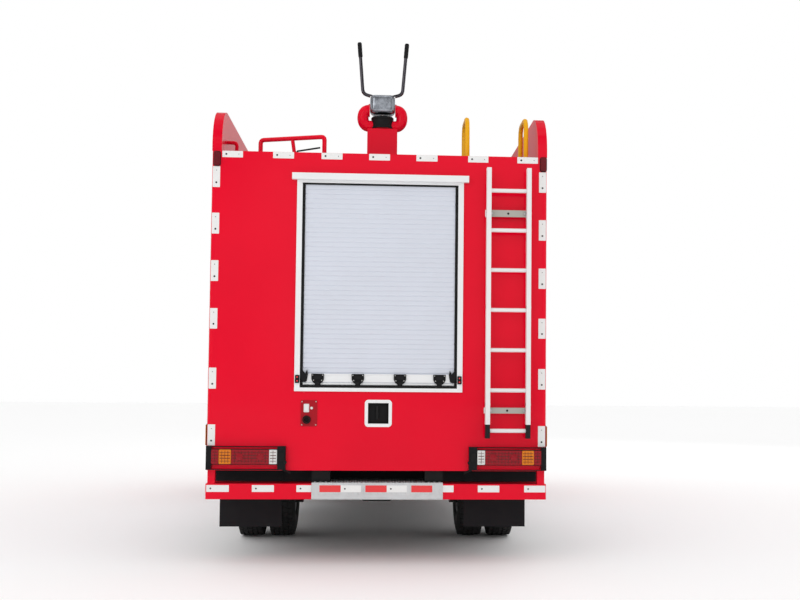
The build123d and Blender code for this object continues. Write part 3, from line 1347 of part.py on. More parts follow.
def hinge_y(outline):
    """The Y of a door's hinge axis, midway across the gap at its front edge."""
    return CAB_FRONT_Y - outline[0][0] + DOOR_GAP / 2


def hinge_x(side):
    return side * (CAB_HALF + DOOR_HINGE_OUT)


with BuildPart() as cab_shell:
    add(shell_solid)
    add(screen_prism(0), mode=Mode.SUBTRACT)
    for _, side, outline, _ in DOORS:
        add(side_prism(outline, DOOR_GAP, side), mode=Mode.SUBTRACT)
    # fascia below the windscreen, down in front of the frame
    with BuildSketch(Plane.XY.offset(FASCIA_Z)) as fascia:
        with Locations((0, (CAB_FRONT_Y + CAB_REAR_Y) / 2)):
            Rectangle(2 * CAB_HALF, CAB_LENGTH)
        fillet(fascia.vertices().group_by(Axis.Y)[-1], CAB_CORNER_R)
        offset(amount=-FASCIA_THICK, mode=Mode.SUBTRACT)
        with Locations((0, CAB_REAR_Y - 260)):
            Rectangle(3 * CAB_HALF, 2 * CAB_LENGTH, mode=Mode.SUBTRACT)
    extrude(amount=CAB_FLOOR_Z - FASCIA_Z)
    for side in (-1, 1):
        # tilt lugs
        with BuildSketch(Plane.YZ.offset(side * (FRAME_HALF + 10))):
            with Locations((TILT_Y, TILT_Z)):
                Circle(35)
            with Locations((TILT_Y, (TILT_Z + CAB_FLOOR_Z) / 2)):
                Rectangle(70, CAB_FLOOR_Z - TILT_Z)
            with Locations((TILT_Y, TILT_Z)):
                Circle(TILT_PIN_R + PIN_GAP, mode=Mode.SUBTRACT)
        extrude(amount=side * 30)
    for _, side, outline, _ in DOORS:
        # hinge leaves on the pillar, one under each door barrel, with its pin standing up
        axis_y = hinge_y(outline)
        for z in HINGE_HEIGHTS:
            leaf_z = (z - HINGE_BARREL_HALF - 21, z - HINGE_BARREL_HALF - 1)
            with Locations((hinge_x(side), axis_y, sum(leaf_z) / 2)):
                Cylinder(HINGE_BARREL_R, 20)
            span_box(mirrored(side, CAB_HALF, CAB_HALF + DOOR_HINGE_OUT), (axis_y, axis_y + 40), leaf_z)
            with Locations((hinge_x(side), axis_y, z - 3)):
                Cylinder(HINGE_PIN_R, 2 * HINGE_BARREL_HALF)
cab_shell.part.label = "cab_shell"

door_parts = {}
for name, side, outline, window in DOORS:
    with BuildPart() as door:
        add(door_skin)
        add(side_prism(outline, 0, side), mode=Mode.INTERSECT)
        add(side_prism(window, 0, side, 40), mode=Mode.SUBTRACT)
        axis_y = hinge_y(outline)
        for z in HINGE_HEIGHTS:
            with Locations((hinge_x(side), axis_y, z)):
                Cylinder(HINGE_BARREL_R, 2 * HINGE_BARREL_HALF)
            span_box(
                mirrored(side, CAB_HALF, CAB_HALF + DOOR_HINGE_OUT),
                (axis_y - 45, axis_y),
                (z - HINGE_BARREL_HALF, z + HINGE_BARREL_HALF),
            )
            with Locations((hinge_x(side), axis_y, z)):
                Cylinder(HINGE_PIN_R + PIN_GAP, 2 * HINGE_BARREL_HALF + 2, mode=Mode.SUBTRACT)
        rear_edge = CAB_FRONT_Y - max(back for back, _ in outline)
        span_box(
            mirrored(side, CAB_HALF, CAB_HALF + 28),
            (rear_edge + 60, rear_edge + 210),
            (1560, 1595),
        )
    door_parts[f"door_{name}"] = door.part
    with BuildPart() as pane:
        add(glass_skin)
        add(side_prism(window, -SEAT_GAP, side, 40), mode=Mode.INTERSECT)
    door_parts[f"door_glass_{name}"] = pane.part

with BuildPart() as windscreen:
    add(glass_skin)
    add(screen_prism(-SEAT_GAP), mode=Mode.INTERSECT)
windscreen.part.label = "windscreen"

# Seats: two in front and a bench behind, each a cushion with a raked back
CAB_FLOOR_TOP = CAB_FLOOR_Z + CAB_WALL
SEAT_OUT = CAB_HALF - 210
SEAT_IN = CAB_HALF - 770
BENCH_HALF = CAB_HALF - 150
# seats: left X, right X, Y of the cushion's front edge behind the cab's face
SEATS = (
    (-SEAT_OUT, -SEAT_IN, 820),
    (SEAT_IN, SEAT_OUT, 820),
    (-BENCH_HALF, BENCH_HALF, CAB_LENGTH - 880),
)
with BuildPart() as cab_seats:
    for x_left, x_right, front_back in SEATS:
        front_y = CAB_FRONT_Y - front_back
        with BuildSketch(Plane.YZ.offset(x_left)):
            with BuildLine():
                Polyline(
                    (front_y - 60, CAB_FLOOR_TOP),
                    (front_y - 60, CAB_FLOOR_TOP + 250),
                    (front_y, CAB_FLOOR_TOP + 290),
                    (front_y, CAB_FLOOR_TOP + 400),
                    (front_y - 440, CAB_FLOOR_TOP + 380),
                    (front_y - 560, CAB_FLOOR_TOP + 1060),
                    (front_y - 640, CAB_FLOOR_TOP + 1060),
                    (front_y - 560, CAB_FLOOR_TOP + 260),
                    (front_y - 480, CAB_FLOOR_TOP + 240),
                    (front_y - 480, CAB_FLOOR_TOP),
                    close=True,
                )
            make_face()
        extrude(amount=x_right - x_left)
cab_seats.part.label = "cab_seats"

# Dashboard with the steering column
DASH_DEPTH = 330
COLUMN_X = -700
WHEEL_CENTRE = (COLUMN_X, CAB_FRONT_Y - 640, CAB_FLOOR_TOP + 790)
COLUMN_LEAN = 35  # the column's rake from upright, in degrees
column_dir = Vector(0, -sin(radians(COLUMN_LEAN)), cos(radians(COLUMN_LEAN)))
column_foot = Vector(*WHEEL_CENTRE) - column_dir * 420
column_top = Vector(*WHEEL_CENTRE) - column_dir * 22
with BuildPart() as dashboard:
    with BuildSketch(Plane.YZ.offset(-(CAB_HALF - CAB_WALL - CAB_CORNER_R))):
        with BuildLine():
            Polyline(
                (CAB_FRONT_Y - CAB_WALL, CAB_FLOOR_TOP + 250),
                (CAB_FRONT_Y - CAB_WALL, SCREEN_BASE_Z - 20),
                (CAB_FRONT_Y - CAB_WALL - DASH_DEPTH, SCREEN_BASE_Z + 20),
                (CAB_FRONT_Y - CAB_WALL - DASH_DEPTH, SCREEN_BASE_Z - 150),
                (CAB_FRONT_Y - CAB_WALL - 200, CAB_FLOOR_TOP + 250),
                close=True,
            )
        make_face()
    extrude(amount=2 * (CAB_HALF - CAB_WALL - CAB_CORNER_R))
    rod(column_foot, column_top, 45)
    rod(column_top, (Vector(*WHEEL_CENTRE) + column_dir * 10), 12)
dashboard.part.label = "dashboard"

# Steering wheel
WHEEL_RING_R = 225
WHEEL_GRIP_R = 15
with BuildPart() as steering_wheel:
    wheel_face = Plane(origin=WHEEL_CENTRE, x_dir=(1, 0, 0), z_dir=column_dir)
    with BuildSketch(wheel_face) as rim_face:
        RegularPolygon(WHEEL_RING_R + WHEEL_GRIP_R, 32)
        RegularPolygon(WHEEL_RING_R - WHEEL_GRIP_R, 32, mode=Mode.SUBTRACT)
    extrude(rim_face.sketch, amount=WHEEL_GRIP_R - 3, both=True)
    chamfer(steering_wheel.edges().filter_by(GeomType.LINE).group_by(Axis(WHEEL_CENTRE, column_dir))[-1], 7)
    with BuildSketch(wheel_face) as hub:
        Circle(45)
        for turn in (-90, 30, 150):
            with Locations(Location((0, 0), turn)):
                with Locations((WHEEL_RING_R / 2, 0)):
                    Rectangle(WHEEL_RING_R, 26)
        Circle(12 + PIN_GAP, mode=Mode.SUBTRACT)
    extrude(hub.sketch, amount=14)
    extrude(hub.sketch, amount=-8)
    with BuildSketch(wheel_face.offset(14)) as cap:
        Circle(45)
    extrude(cap.sketch, amount=5)
steering_wheel.part.label = "steering_wheel"

# Mirrors on arms from the front pillars
MIRROR_X = (CAB_HALF + 50, CAB_HALF + 250)
MIRROR_Y = CAB_FRONT_Y - 150
with BuildPart() as cab_mirrors:
    for side in (-1, 1):
        for z in (1980, 2340):
            rod((side * (CAB_HALF - CAB_WALL), MIRROR_Y, z), (side * (MIRROR_X[0] + MIRROR_X[1]) / 2, MIRROR_Y, z), 14)
        span_box(mirrored(side, *MIRROR_X), (MIRROR_Y - 30, MIRROR_Y + 45), (1900, 2420))
    add(outer_block, mode=Mode.SUBTRACT)
cab_mirrors.part.label = "cab_mirrors"

# Grille on the cab's face
GRILLE_HALF = 700
GRILLE_Z = (1180, 1560)
GRILLE_SLATS = round((GRILLE_Z[1] - GRILLE_Z[0]) / 76)
with BuildPart() as grille:
    span_box((-GRILLE_HALF, GRILLE_HALF), (CAB_FRONT_Y, CAB_FRONT_Y + 12), GRILLE_Z)
    slat_pitch = (GRILLE_Z[1] - GRILLE_Z[0]) / GRILLE_SLATS
    for index in range(GRILLE_SLATS):
        z = GRILLE_Z[0] + (index + 0.5) * slat_pitch
        span_box(
            (-GRILLE_HALF + 30, GRILLE_HALF - 30),
            (CAB_FRONT_Y + 12, CAB_FRONT_Y + 32),
            (z - 22, z + 22),
        )
grille.part.label = "grille"

# Light bar on the cab's roof
BAR_HALF = 800
BAR_BACK = 900
with BuildPart() as light_bar:
    bar_y = CAB_FRONT_Y - BAR_BACK
    with BuildSketch(Plane.YZ.offset(-BAR_HALF)):
        with BuildLine():
            Polyline(
                (bar_y - 150, CAB_ROOF_Z + 30),
                (bar_y + 150, CAB_ROOF_Z + 30),
                (bar_y + 150, CAB_ROOF_Z + 90),
                (bar_y + 100, CAB_ROOF_Z + 150),
                (bar_y - 100, CAB_ROOF_Z + 150),
                (bar_y - 150, CAB_ROOF_Z + 90),
                close=True,
            )
        make_face()
    extrude(amount=2 * BAR_HALF)
    for side in (-1, 1):
        span_box(
            mirrored(side, 500, 600),
            (bar_y - 100, bar_y + 100),
            (CAB_ROOF_Z, CAB_ROOF_Z + 30),
        )
light_bar.part.label = "light_bar"

for piece in (
    frame_rails,
    leaf_springs,
    front_axle,
    rear_axle,
    engine,
    prop_shaft,
    fuel_tank,
    body_floor,
    side_walls,
    rear_wall,
    front_wall,
    roof_deck,
    roof_fairings,
    rear_shutter_frame,
    rear_shutter,
    side_shutter_frames,
    side_shutters,
    side_guards,
    rear_bumper,
    rear_step,
    tail_lamps,
    mud_flaps,
    rear_ladder,
    rear_hatch,
    charging_panel,
    roof_rail,
    roof_hoops,
    monitor_pedestal,
    monitor_turret,
    monitor_barrel,
    monitor_handles,
    front_bumper,
    headlamps,
    cab_steps,
    cab_shell,
    windscreen,
    cab_seats,
    dashboard,
    steering_wheel,
    cab_mirrors,
    grille,
    light_bar,
):
    export_step(piece.part, f"parts/{piece.part.label}.step")

for name, solid in (wheel_parts | door_parts).items():
    solid.label = name
    export_step(solid, f"parts/{name}.step")
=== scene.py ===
# Looks of the foam fire truck: finishes, road tread, slats, reflectors, lamps and trim.
# Metres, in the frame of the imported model: +X right, +Y front, +Z up, origin on the ground.
import json
import math

import bmesh
import bpy
from mathutils import Matrix, Vector


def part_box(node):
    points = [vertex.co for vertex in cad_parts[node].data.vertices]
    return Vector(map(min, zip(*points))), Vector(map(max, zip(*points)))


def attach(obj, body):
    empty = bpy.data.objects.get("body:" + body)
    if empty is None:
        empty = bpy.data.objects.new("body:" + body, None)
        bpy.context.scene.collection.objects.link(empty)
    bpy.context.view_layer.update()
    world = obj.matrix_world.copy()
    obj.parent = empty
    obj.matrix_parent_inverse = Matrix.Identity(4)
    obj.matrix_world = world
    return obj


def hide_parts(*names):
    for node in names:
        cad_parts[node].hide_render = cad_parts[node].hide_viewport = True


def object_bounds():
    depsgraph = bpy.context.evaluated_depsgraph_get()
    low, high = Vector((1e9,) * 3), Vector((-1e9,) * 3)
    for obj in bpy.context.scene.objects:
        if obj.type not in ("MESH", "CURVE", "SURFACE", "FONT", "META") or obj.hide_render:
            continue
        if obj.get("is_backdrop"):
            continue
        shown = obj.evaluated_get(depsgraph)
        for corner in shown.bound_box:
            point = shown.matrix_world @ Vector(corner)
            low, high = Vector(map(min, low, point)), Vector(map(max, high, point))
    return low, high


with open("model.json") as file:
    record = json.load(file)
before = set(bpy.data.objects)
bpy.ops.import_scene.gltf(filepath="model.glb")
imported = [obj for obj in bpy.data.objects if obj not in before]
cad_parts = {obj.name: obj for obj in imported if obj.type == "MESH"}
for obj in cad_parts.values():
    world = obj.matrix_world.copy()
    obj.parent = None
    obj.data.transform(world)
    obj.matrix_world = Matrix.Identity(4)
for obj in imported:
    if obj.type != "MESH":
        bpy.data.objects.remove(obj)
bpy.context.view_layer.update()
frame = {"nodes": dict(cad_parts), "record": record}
nodes = frame["nodes"]

# Places taken over from the CAD
TAIL_Y = -3.744
NOSE_Y = 3.856
REAR_AXLE_Y = TAIL_Y + 1.75
FRONT_AXLE_Y = REAR_AXLE_Y + 4.5
CAB_Y = NOSE_Y - 0.06
CAB_HALF = 1.2
BODY_HALF = 1.25
DECK_TOP = 3.04
TYRE_R = 0.485
MONITOR = Vector((0.007, TAIL_Y + 0.62, 3.556))  # where the monitor's two axes cross

# Ways that a detail faces
BACK, AHEAD, UP = (0, -1, 0), (0, 1, 0), (0, 0, 1)


# Materials


def plug(tree, value, socket):
    """Links an output to a socket, or sets the socket's own value."""
    if isinstance(value, bpy.types.NodeSocket):
        tree.links.new(value, socket)
    else:
        socket.default_value = value


def node(owner, kind, **settings):
    """A node of a material or world. Settings are its inputs, with _ for a space, or its properties."""
    made = owner.node_tree.nodes.new(kind)
    for key, value in settings.items():
        name = key.replace("_", " ")
        if name in made.inputs:
            plug(owner.node_tree, value, made.inputs[name])
        else:
            setattr(made, key, value)
    return made


def shader_input(mat, name):
    return mat.node_tree.nodes["Principled BSDF"].inputs[name]


def math_node(mat, operation, first, second):
    """The result of a Math node on two values or outputs."""
    made = node(mat, "ShaderNodeMath", operation=operation)
    plug(mat.node_tree, first, made.inputs[0])
    plug(mat.node_tree, second, made.inputs[1])
    return made.outputs["Value"]


def object_coords(mat, stretch=(1, 1, 1), turn=0.0):
    """Object coordinates, turned about Z and stretched along each axis."""
    coords = node(mat, "ShaderNodeTexCoord").outputs["Object"]
    return node(mat, "ShaderNodeMapping", Vector=coords, Rotation=(0, 0, turn), Scale=stretch).outputs["Vector"]


def noise(mat, scale, detail, stretch, roughness=0.5):
    settings = {"Vector": object_coords(mat, stretch), "Scale": scale, "Detail": detail, "Roughness": roughness}
    return node(mat, "ShaderNodeTexNoise", **settings).outputs["Fac"]


def tint(mat, mask, color):
    """Another base colour, mixed in by a mask that runs from 0 to 1."""
    base = shader_input(mat, "Base Color")
    mix = node(mat, "ShaderNodeMix", data_type="RGBA")
    factor, first, second = (mix.inputs[place] for place in (0, 6, 7))
    plug(mat.node_tree, mask, factor)
    plug(mat.node_tree, base.links[0].from_socket if base.is_linked else base.default_value, first)
    plug(mat.node_tree, (*color, 1), second)
    plug(mat.node_tree, mix.outputs[2], base)


def vary(mat, scale, amount, color, stretch=(1, 1, 1)):
    """Clouds of a second colour over the base colour."""
    clouds = noise(mat, scale, 4.0, stretch, 0.6)
    ramp = node(mat, "ShaderNodeMapRange", Value=clouds, From_Min=0.35, From_Max=0.75, To_Max=amount)
    tint(mat, ramp.outputs["Result"], color)
    return mat


def rough_noise(mat, scale, low, high):
    """Roughness that wanders between two values."""
    wander = noise(mat, scale, 5.0, (1, 1, 1))
    ramp = node(mat, "ShaderNodeMapRange", Value=wander, From_Min=0.3, From_Max=0.7, To_Min=low, To_Max=high)
    plug(mat.node_tree, ramp.outputs["Result"], shader_input(mat, "Roughness"))
    return mat


def bump(mat, height, strength, distance):
    """Adds a bump from a height output, on top of any bump that is there."""
    made = node(mat, "ShaderNodeBump", Height=height, Strength=strength, Distance=distance)
    normal = shader_input(mat, "Normal")
    if normal.is_linked:
        plug(mat.node_tree, normal.links[0].from_socket, made.inputs["Normal"])
    plug(mat.node_tree, made.outputs["Normal"], normal)
    return mat


def noise_bump(mat, scale, strength, distance, stretch=(1, 1, 1)):
    return bump(mat, noise(mat, scale, 3.0, stretch), strength, distance)


def finish(name, color, rough, metallic=0.0, clouds=None, wander=None, grain=None, **sockets):
    """A Principled material. Clouds are vary's values, wander rough_noise's and grain noise_bump's, and more
    sockets are given by name with _ for a space."""
    mat = bpy.data.materials.new(name)
    mat.use_nodes = True
    sockets |= {"Base_Color": (*color, 1), "Roughness": rough, "Metallic": metallic}
    for key, value in sockets.items():
        shader_input(mat, key.replace("_", " ")).default_value = value
    for values, change in ((clouds, vary), (wander, rough_noise), (grain, noise_bump)):
        if values:
            change(mat, *values)
    return mat


def darker(color, share):
    return tuple(c * share for c in color)


def painted(name, color, rough):
    """Enamel under a thin clear coat: long soft waves and a fine orange peel."""
    mat = finish(name, color, rough, clouds=(0.9, 0.3, darker(color, 0.68)), grain=(2.2, 0.05, 0.02),
                 Coat_Weight=0.24, Coat_Roughness=0.05, Specular_IOR_Level=0.03)
    return noise_bump(mat, 260, 0.03, 0.0006)


def metal(name, color, rough, wear=0.25):
    return finish(name, color, rough, 1.0, clouds=(7, wear, darker(color, 0.55)),
                  wander=(30, rough * 0.8, rough * 1.3), grain=(90, 0.06, 0.001))


def plastic(name, color, rough):
    return finish(name, color, rough, wander=(25, rough * 0.85, rough * 1.2), grain=(500, 0.12, 0.0005),
                  Specular_IOR_Level=0.15)


def tread_plate(name, color, rough):
    """Raised bars crossed two ways, as on chequer plate."""
    mat = metal(name, color, rough, wear=0.15)
    bars = []
    for turn in (0.785, -0.785):
        cells = node(mat, "ShaderNodeTexVoronoi", distance="CHEBYCHEV", Randomness=0.0, Scale=1.0,
                     Vector=object_coords(mat, (40, 15, 15), turn)).outputs["Distance"]
        bars.append(node(mat, "ShaderNodeMapRange", interpolation_type="SMOOTHSTEP", Value=cells,
                         From_Min=0.36, From_Max=0.22).outputs["Result"])
    return bump(mat, math_node(mat, "MAXIMUM", *bars), 0.6, 0.003)


def lens(name, color):
    """A lamp lens with fine ribs both ways."""
    mat = finish(name, color, 0.15, clouds=(40, 0.3, darker(color, 0.45)), Coat_Weight=0.2, Coat_Roughness=0.04,
                 Specular_IOR_Level=0.15)
    for axis, strength, distance in (("X", 0.5, 0.003), ("Z", 0.3, 0.002)):
        ribs = node(mat, "ShaderNodeTexWave", bands_direction=axis, Scale=26, Vector=object_coords(mat))
        bump(mat, ribs.outputs["Fac"], strength, distance)
    return mat


def tape(name, color):
    """Retroreflective tape with a fine honeycomb."""
    mat = finish(name, color, 0.3, clouds=(120, 0.12, darker(color, 0.6)), Coat_Weight=0.5)
    cells = node(mat, "ShaderNodeTexVoronoi", feature="DISTANCE_TO_EDGE", Scale=160, Vector=object_coords(mat))
    return bump(mat, cells.outputs["Distance"], 0.25, 0.001)


red_paint = painted("red_paint_gloss", (0.77, 0.0008, 0.021), 0.28)
white_paint = painted("white_paint_gloss", (0.8, 0.8, 0.8), 0.35)
yellow_paint = painted("yellow_paint_gloss", (0.85, 0.42, 0.01), 0.35)
panel_red = painted("panel_dark_red", (0.38, 0.006, 0.015), 0.4)
rim_paint = painted("rim_grey_paint", (0.42, 0.43, 0.45), 0.4)
ladder_white = painted("ladder_white", (0.8, 0.79, 0.79), 0.4)
galvanised = metal("galvanised_steel", (0.55, 0.56, 0.57), 0.45)
bare_aluminium = metal("bare_aluminium", (0.72, 0.73, 0.74), 0.33)
zinc = metal("zinc_plated_steel", (0.6, 0.6, 0.58), 0.35)
roof_tread = tread_plate("roof_tread_plate", (0.55, 0.56, 0.57), 0.42)
step_metal = tread_plate("step_tread_plate", (0.66, 0.67, 0.68), 0.4)
black_plastic = plastic("black_plastic", (0.008, 0.008, 0.009), 0.5)
dash_plastic = plastic("dash_soft_plastic", (0.045, 0.046, 0.05), 0.62)
switch_white = plastic("switch_white", (0.75, 0.75, 0.74), 0.4)
seal_rubber = plastic("seal_rubber", (0.01, 0.01, 0.01), 0.6)
grip_rubber = plastic("grip_rubber", (0.012, 0.012, 0.013), 0.7)
lens_red = lens("lens_red", (0.3, 0.004, 0.012))
lens_amber = lens("lens_amber", (0.72, 0.2, 0.01))
lens_clear = lens("lens_clear", (0.72, 0.72, 0.7))
lens_blue = lens("lens_blue", (0.01, 0.05, 0.7))
lens_rib = lens("lens_rib_shade", (0.1, 0.012, 0.012))
marker_red = lens("marker_dark_red", (0.14, 0.004, 0.01))
tape_white = tape("tape_white", (0.8, 0.8, 0.79))
tape_red = tape("tape_red", (0.78, 0.01, 0.015))
white_frame = finish("white_anodised_frame", (0.83, 0.84, 0.85), 0.38, 0.15, clouds=(3, 0.12, (0.5, 0.5, 0.5)),
                     grain=(60, 0.05, 0.001, (1, 1, 0.05)))
shutter_metal = finish("shutter_anodised", (0.68, 0.71, 0.79), 0.38, 0.3, clouds=(2.5, 0.12, (0.5, 0.52, 0.55)),
                       grain=(40, 0.05, 0.001, (0.2, 0.2, 3)))
chassis_paint = finish("chassis_black_paint", (0.01, 0.01, 0.011), 0.5, clouds=(6, 0.4, (0.028, 0.026, 0.024)),
                       grain=(120, 0.15, 0.001), Specular_IOR_Level=0.15)
axle_iron = finish("axle_cast_iron", (0.035, 0.034, 0.034), 0.62, 0.4, clouds=(9, 0.6, (0.09, 0.075, 0.06)),
                   grain=(180, 0.35, 0.001))
flap_rubber = finish("flap_rubber", (0.01, 0.01, 0.012), 0.72, clouds=(5, 0.4, (0.022, 0.021, 0.021)),
                     grain=(300, 0.2, 0.0006), Specular_IOR_Level=0.15)
tyre_rubber = finish("tyre_rubber", (0.014, 0.014, 0.015), 0.78, clouds=(8, 0.45, (0.035, 0.033, 0.031)),
                     grain=(260, 0.25, 0.0008), Specular_IOR_Level=0.2)
chrome = finish("bright_chrome", (0.82, 0.82, 0.83), 0.12, 1.0, wander=(20, 0.06, 0.2))
# chrome for the monitor's handlebars: a copy of the bright chrome, its base colour darkened as a painted dark
# reflection
chrome_painted_dark_reflection = finish("chrome_painted_dark_reflection", (0.075, 0.07, 0.08), 0.16, 1.0, wander=(20, 0.1, 0.24))
monitor_grey = finish("monitor_cast_grey", (0.46, 0.49, 0.54), 0.24, 1.0, clouds=(22, 0.85, (0.07, 0.075, 0.09)),
                      grain=(160, 0.2, 0.001))
seat_fabric = finish("seat_cloth", (0.05, 0.055, 0.07), 0.9, clouds=(260, 0.6, (0.13, 0.13, 0.15)),
                     grain=(500, 0.4, 0.001), Sheen_Weight=0.4)
glass = finish("cab_glass", (0.5, 0.56, 0.57), 0.03, wander=(4, 0.02, 0.05), Transmission_Weight=0.9, IOR=1.45,
               Alpha=0.55)
mirror_glass = finish("mirror_glass", (0.78, 0.8, 0.82), 0.03, 1.0, wander=(6, 0.02, 0.05))
screen_glass = finish("screen_dark_glass", (0.01, 0.012, 0.015), 0.08, wander=(9, 0.05, 0.14), Coat_Weight=0.5)


def stands_between(mat, axis, low, high):
    """1 where a point's coordinate along an axis is between two values, as a node output."""
    place = node(mat, "ShaderNodeSeparateXYZ", Vector=object_coords(mat)).outputs[axis]
    above, below = math_node(mat, "GREATER_THAN", place, low), math_node(mat, "LESS_THAN", place, high)
    return math_node(mat, "MULTIPLY", above, below)


# The ladder: white stiles and rungs, galvanised crossbars ahead of them, black rubber feet
LADDER_Y = TAIL_Y - 0.112
LADDER_BARS_Z = ((1.115, 1.162), (2.579, 2.634))
LADDER_FEET_Z = 1.037
BETWEEN_STILES = (0.8195, 1.0845)
between = stands_between(ladder_white, "X", *BETWEEN_STILES)
for bar_z in LADDER_BARS_Z:
    in_height = stands_between(ladder_white, "Z", *bar_z)
    tint(ladder_white, math_node(ladder_white, "MULTIPLY", in_height, between), (0.4, 0.4, 0.36))
low_down = stands_between(ladder_white, "Z", 0, LADDER_FEET_Z)
tint(ladder_white, math_node(ladder_white, "GREATER_THAN", low_down, between), (0.012, 0.012, 0.013))

# Finish of each material slot of the CAD
slot_materials = dict(
    red_paint=red_paint, white_paint=white_paint, yellow_paint=yellow_paint, panel_red=panel_red,
    rim_paint=rim_paint, chassis_paint=chassis_paint, white_frame=white_frame, shutter_metal=shutter_metal,
    roof_tread=roof_tread, step_metal=step_metal, guard_metal=bare_aluminium, tank_metal=bare_aluminium,
    spring_steel=axle_iron, axle_iron=axle_iron, engine_iron=axle_iron, monitor_red=red_paint,
    monitor_grey=monitor_grey, handle_chrome=chrome_painted_dark_reflection, tyre=tyre_rubber, flap_rubber=flap_rubber, glass=glass,
    lamp_red=black_plastic, lamp_clear=lens_clear, lamp_blue=lens_blue, mirror_housing=black_plastic,
    grille_plastic=black_plastic, seat_fabric=seat_fabric, dash_plastic=dash_plastic,
)
for sub in frame["record"]["subparts"]:
    cad = nodes[sub["node"]]
    cad.data.materials.clear()
    cad.data.materials.append(slot_materials[sub["material_slot"]])
nodes["rear_ladder"].data.materials[0] = ladder_white
for cad in nodes.values():
    cad.data.shade_smooth()
    cad.data.set_sharp_from_angle(angle=math.radians(32))


# Mesh helpers


def on_circle(radius, share):
    """A point on a circle, by its share of a whole turn."""
    turn = 2 * math.pi * share
    return radius * math.cos(turn), radius * math.sin(turn)


def skin(bm, rings, closed=True, capped=True):
    """Joins rings of vertices in their order. Closed rings come round to their start; caps close both ends."""
    for low, high in zip(rings, rings[1:]):
        for i in range(len(low) if closed else len(low) - 1):
            j = (i + 1) % len(low)
            corners = list(dict.fromkeys((low[i], low[j], high[j], high[i])))
            if len(corners) > 2:
                bm.faces.new(corners)
    if capped:
        bm.faces.new(rings[0])
        bm.faces.new(rings[-1][::-1])


def block(bm, x, y, z):
    """A block between two values along each axis."""
    corners = [bm.verts.new((px, py, pz)) for px in x for py in y for pz in z]
    for face in ((0, 1, 3, 2), (4, 6, 7, 5), (0, 4, 5, 1), (2, 3, 7, 6), (0, 2, 6, 4), (1, 5, 7, 3)):
        bm.faces.new([corners[i] for i in face])


def plate(bm, centre, size, radius, thick, facing=BACK):
    """A plate with round corners that stands out of an upright wall by its thickness."""
    ring = []
    for quarter, (way_w, way_h) in enumerate(((1, 1), (-1, 1), (-1, -1), (1, -1))):
        for step in range(5):
            u, v = on_circle(radius, (quarter + step / 4) / 4)
            ring.append((way_w * (size[0] / 2 - radius) + u, way_h * (size[1] / 2 - radius) + v))

    def layer(out, width_share=1, height_share=1):
        return [bm.verts.new((centre[0] - u * width_share * facing[1] + out * facing[0],
                              centre[1] + u * width_share * facing[0] + out * facing[1],
                              centre[2] + v * height_share)) for u, v in ring]

    edge = min(thick, radius, 0.002) * 0.6
    skin(bm, [layer(0), layer(thick - edge), layer(thick, *(1 - 2 * edge / length for length in size))])


def rod(bm, start, end, radius, sides=16):
    """A round bar between two points."""
    start, end = Vector(start), Vector(end)
    turn = (end - start).to_track_quat("Z", "Y").to_matrix()
    circle = [turn @ Vector((*on_circle(radius, i / sides), 0)) for i in range(sides)]
    skin(bm, [[bm.verts.new(centre + point) for point in circle] for centre in (start, end)])


def turned(bm, centre, axis, profile, steps=64):
    """A profile of (distance along the axis, radius) turned about the axis; a radius of 0 is one point."""
    centre = Vector(centre)
    turn = Vector(axis).normalized().to_track_quat("Z", "Y").to_matrix()
    rings = []
    for along, radius in profile:
        points = [Vector((*on_circle(radius, i / steps), along)) for i in range(steps if radius else 1)]
        rings.append([bm.verts.new(centre + turn @ point) for point in points] * (1 if radius else steps))
    skin(bm, rings, capped=False)


def stud(bm, place, facing, radius, shoulder, height, top, sides=20):
    """A head that narrows from its shoulder to its top; with 6 sides it is hexagonal."""
    turned(bm, place, facing, ((0, radius), (shoulder, radius), (height, top), (height, 0)), sides)


def screw(bm, place, facing, radius, height=0.003):
    stud(bm, place, facing, radius, height * 0.6, height, radius * 0.6, 12)


def hex_nut(bm, place, facing, radius, height):
    stud(bm, place, facing, radius, height * 0.85, height, radius * 0.8, 6)


def prism(bm, outline, near, far, facing="Y"):
    """An outline drawn out between two places: (x, z) points along Y, or (y, z) points along X."""
    skin(bm, [[bm.verts.new((u, depth, v) if facing == "Y" else (depth, u, v)) for u, v in outline]
              for depth in (near, far)])


def meshes(count):
    """New empty meshes, one for each name on the left."""
    return [bmesh.new() for _ in range(count)]


def piece(name, bm, mat, body="chassis", bevel=0.0, segments=2, angle=35):
    """Turns a mesh into a smooth-shaded piece that rides on a body."""
    bmesh.ops.recalc_face_normals(bm, faces=bm.faces)
    mesh = bpy.data.meshes.new(name)
    bm.to_mesh(mesh)
    bm.free()
    mesh.shade_smooth()
    mesh.set_sharp_from_angle(angle=math.radians(angle))
    obj = bpy.data.objects.new(name, mesh)
    bpy.context.collection.objects.link(obj)
    mesh.materials.append(mat)
    if bevel:
        rounding = obj.modifiers.new("edge", "BEVEL")
        rounding.width, rounding.segments = bevel, segments
        rounding.limit_method, rounding.angle_limit = "ANGLE", math.radians(30)
    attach(obj, body)
    return obj


# Reflective tape on the rear wall: left X, right X, bottom Z, top Z
TOP_TAPES = ((-1.176, -1.024), (-0.803, -0.648), (-0.445, -0.289), (-0.091, 0.065), (0.262, 0.421), (0.651, 0.804),
             (1.023, 1.18))
LEFT_TAPES = ((2.772, 2.928), (2.426, 2.581), (2.075, 2.229), (1.724, 1.875), (1.284, 1.438), (0.87, 1.023))
RIGHT_TAPES = ((2.777, 2.932), (2.414, 2.569), (2.05, 2.203), (1.676, 1.826), (1.296, 1.449), (0.87, 1.024))
BUMPER_WHITES = ((-1.244, -1.081), (-0.915, -0.755), (-0.592, -0.441), (-0.268, -0.119), (0.069, 0.217),
                 (0.405, 0.562), (0.742, 0.902), (1.087, 1.246))
BUMPER_REDS = ((-0.425, -0.268), (-0.089, 0.069), (0.248, 0.405))
TOP_TAPE_Z, SIDE_TAPE_X, BUMPER_TAPE_Z = 3.0205, 1.2155, 0.558
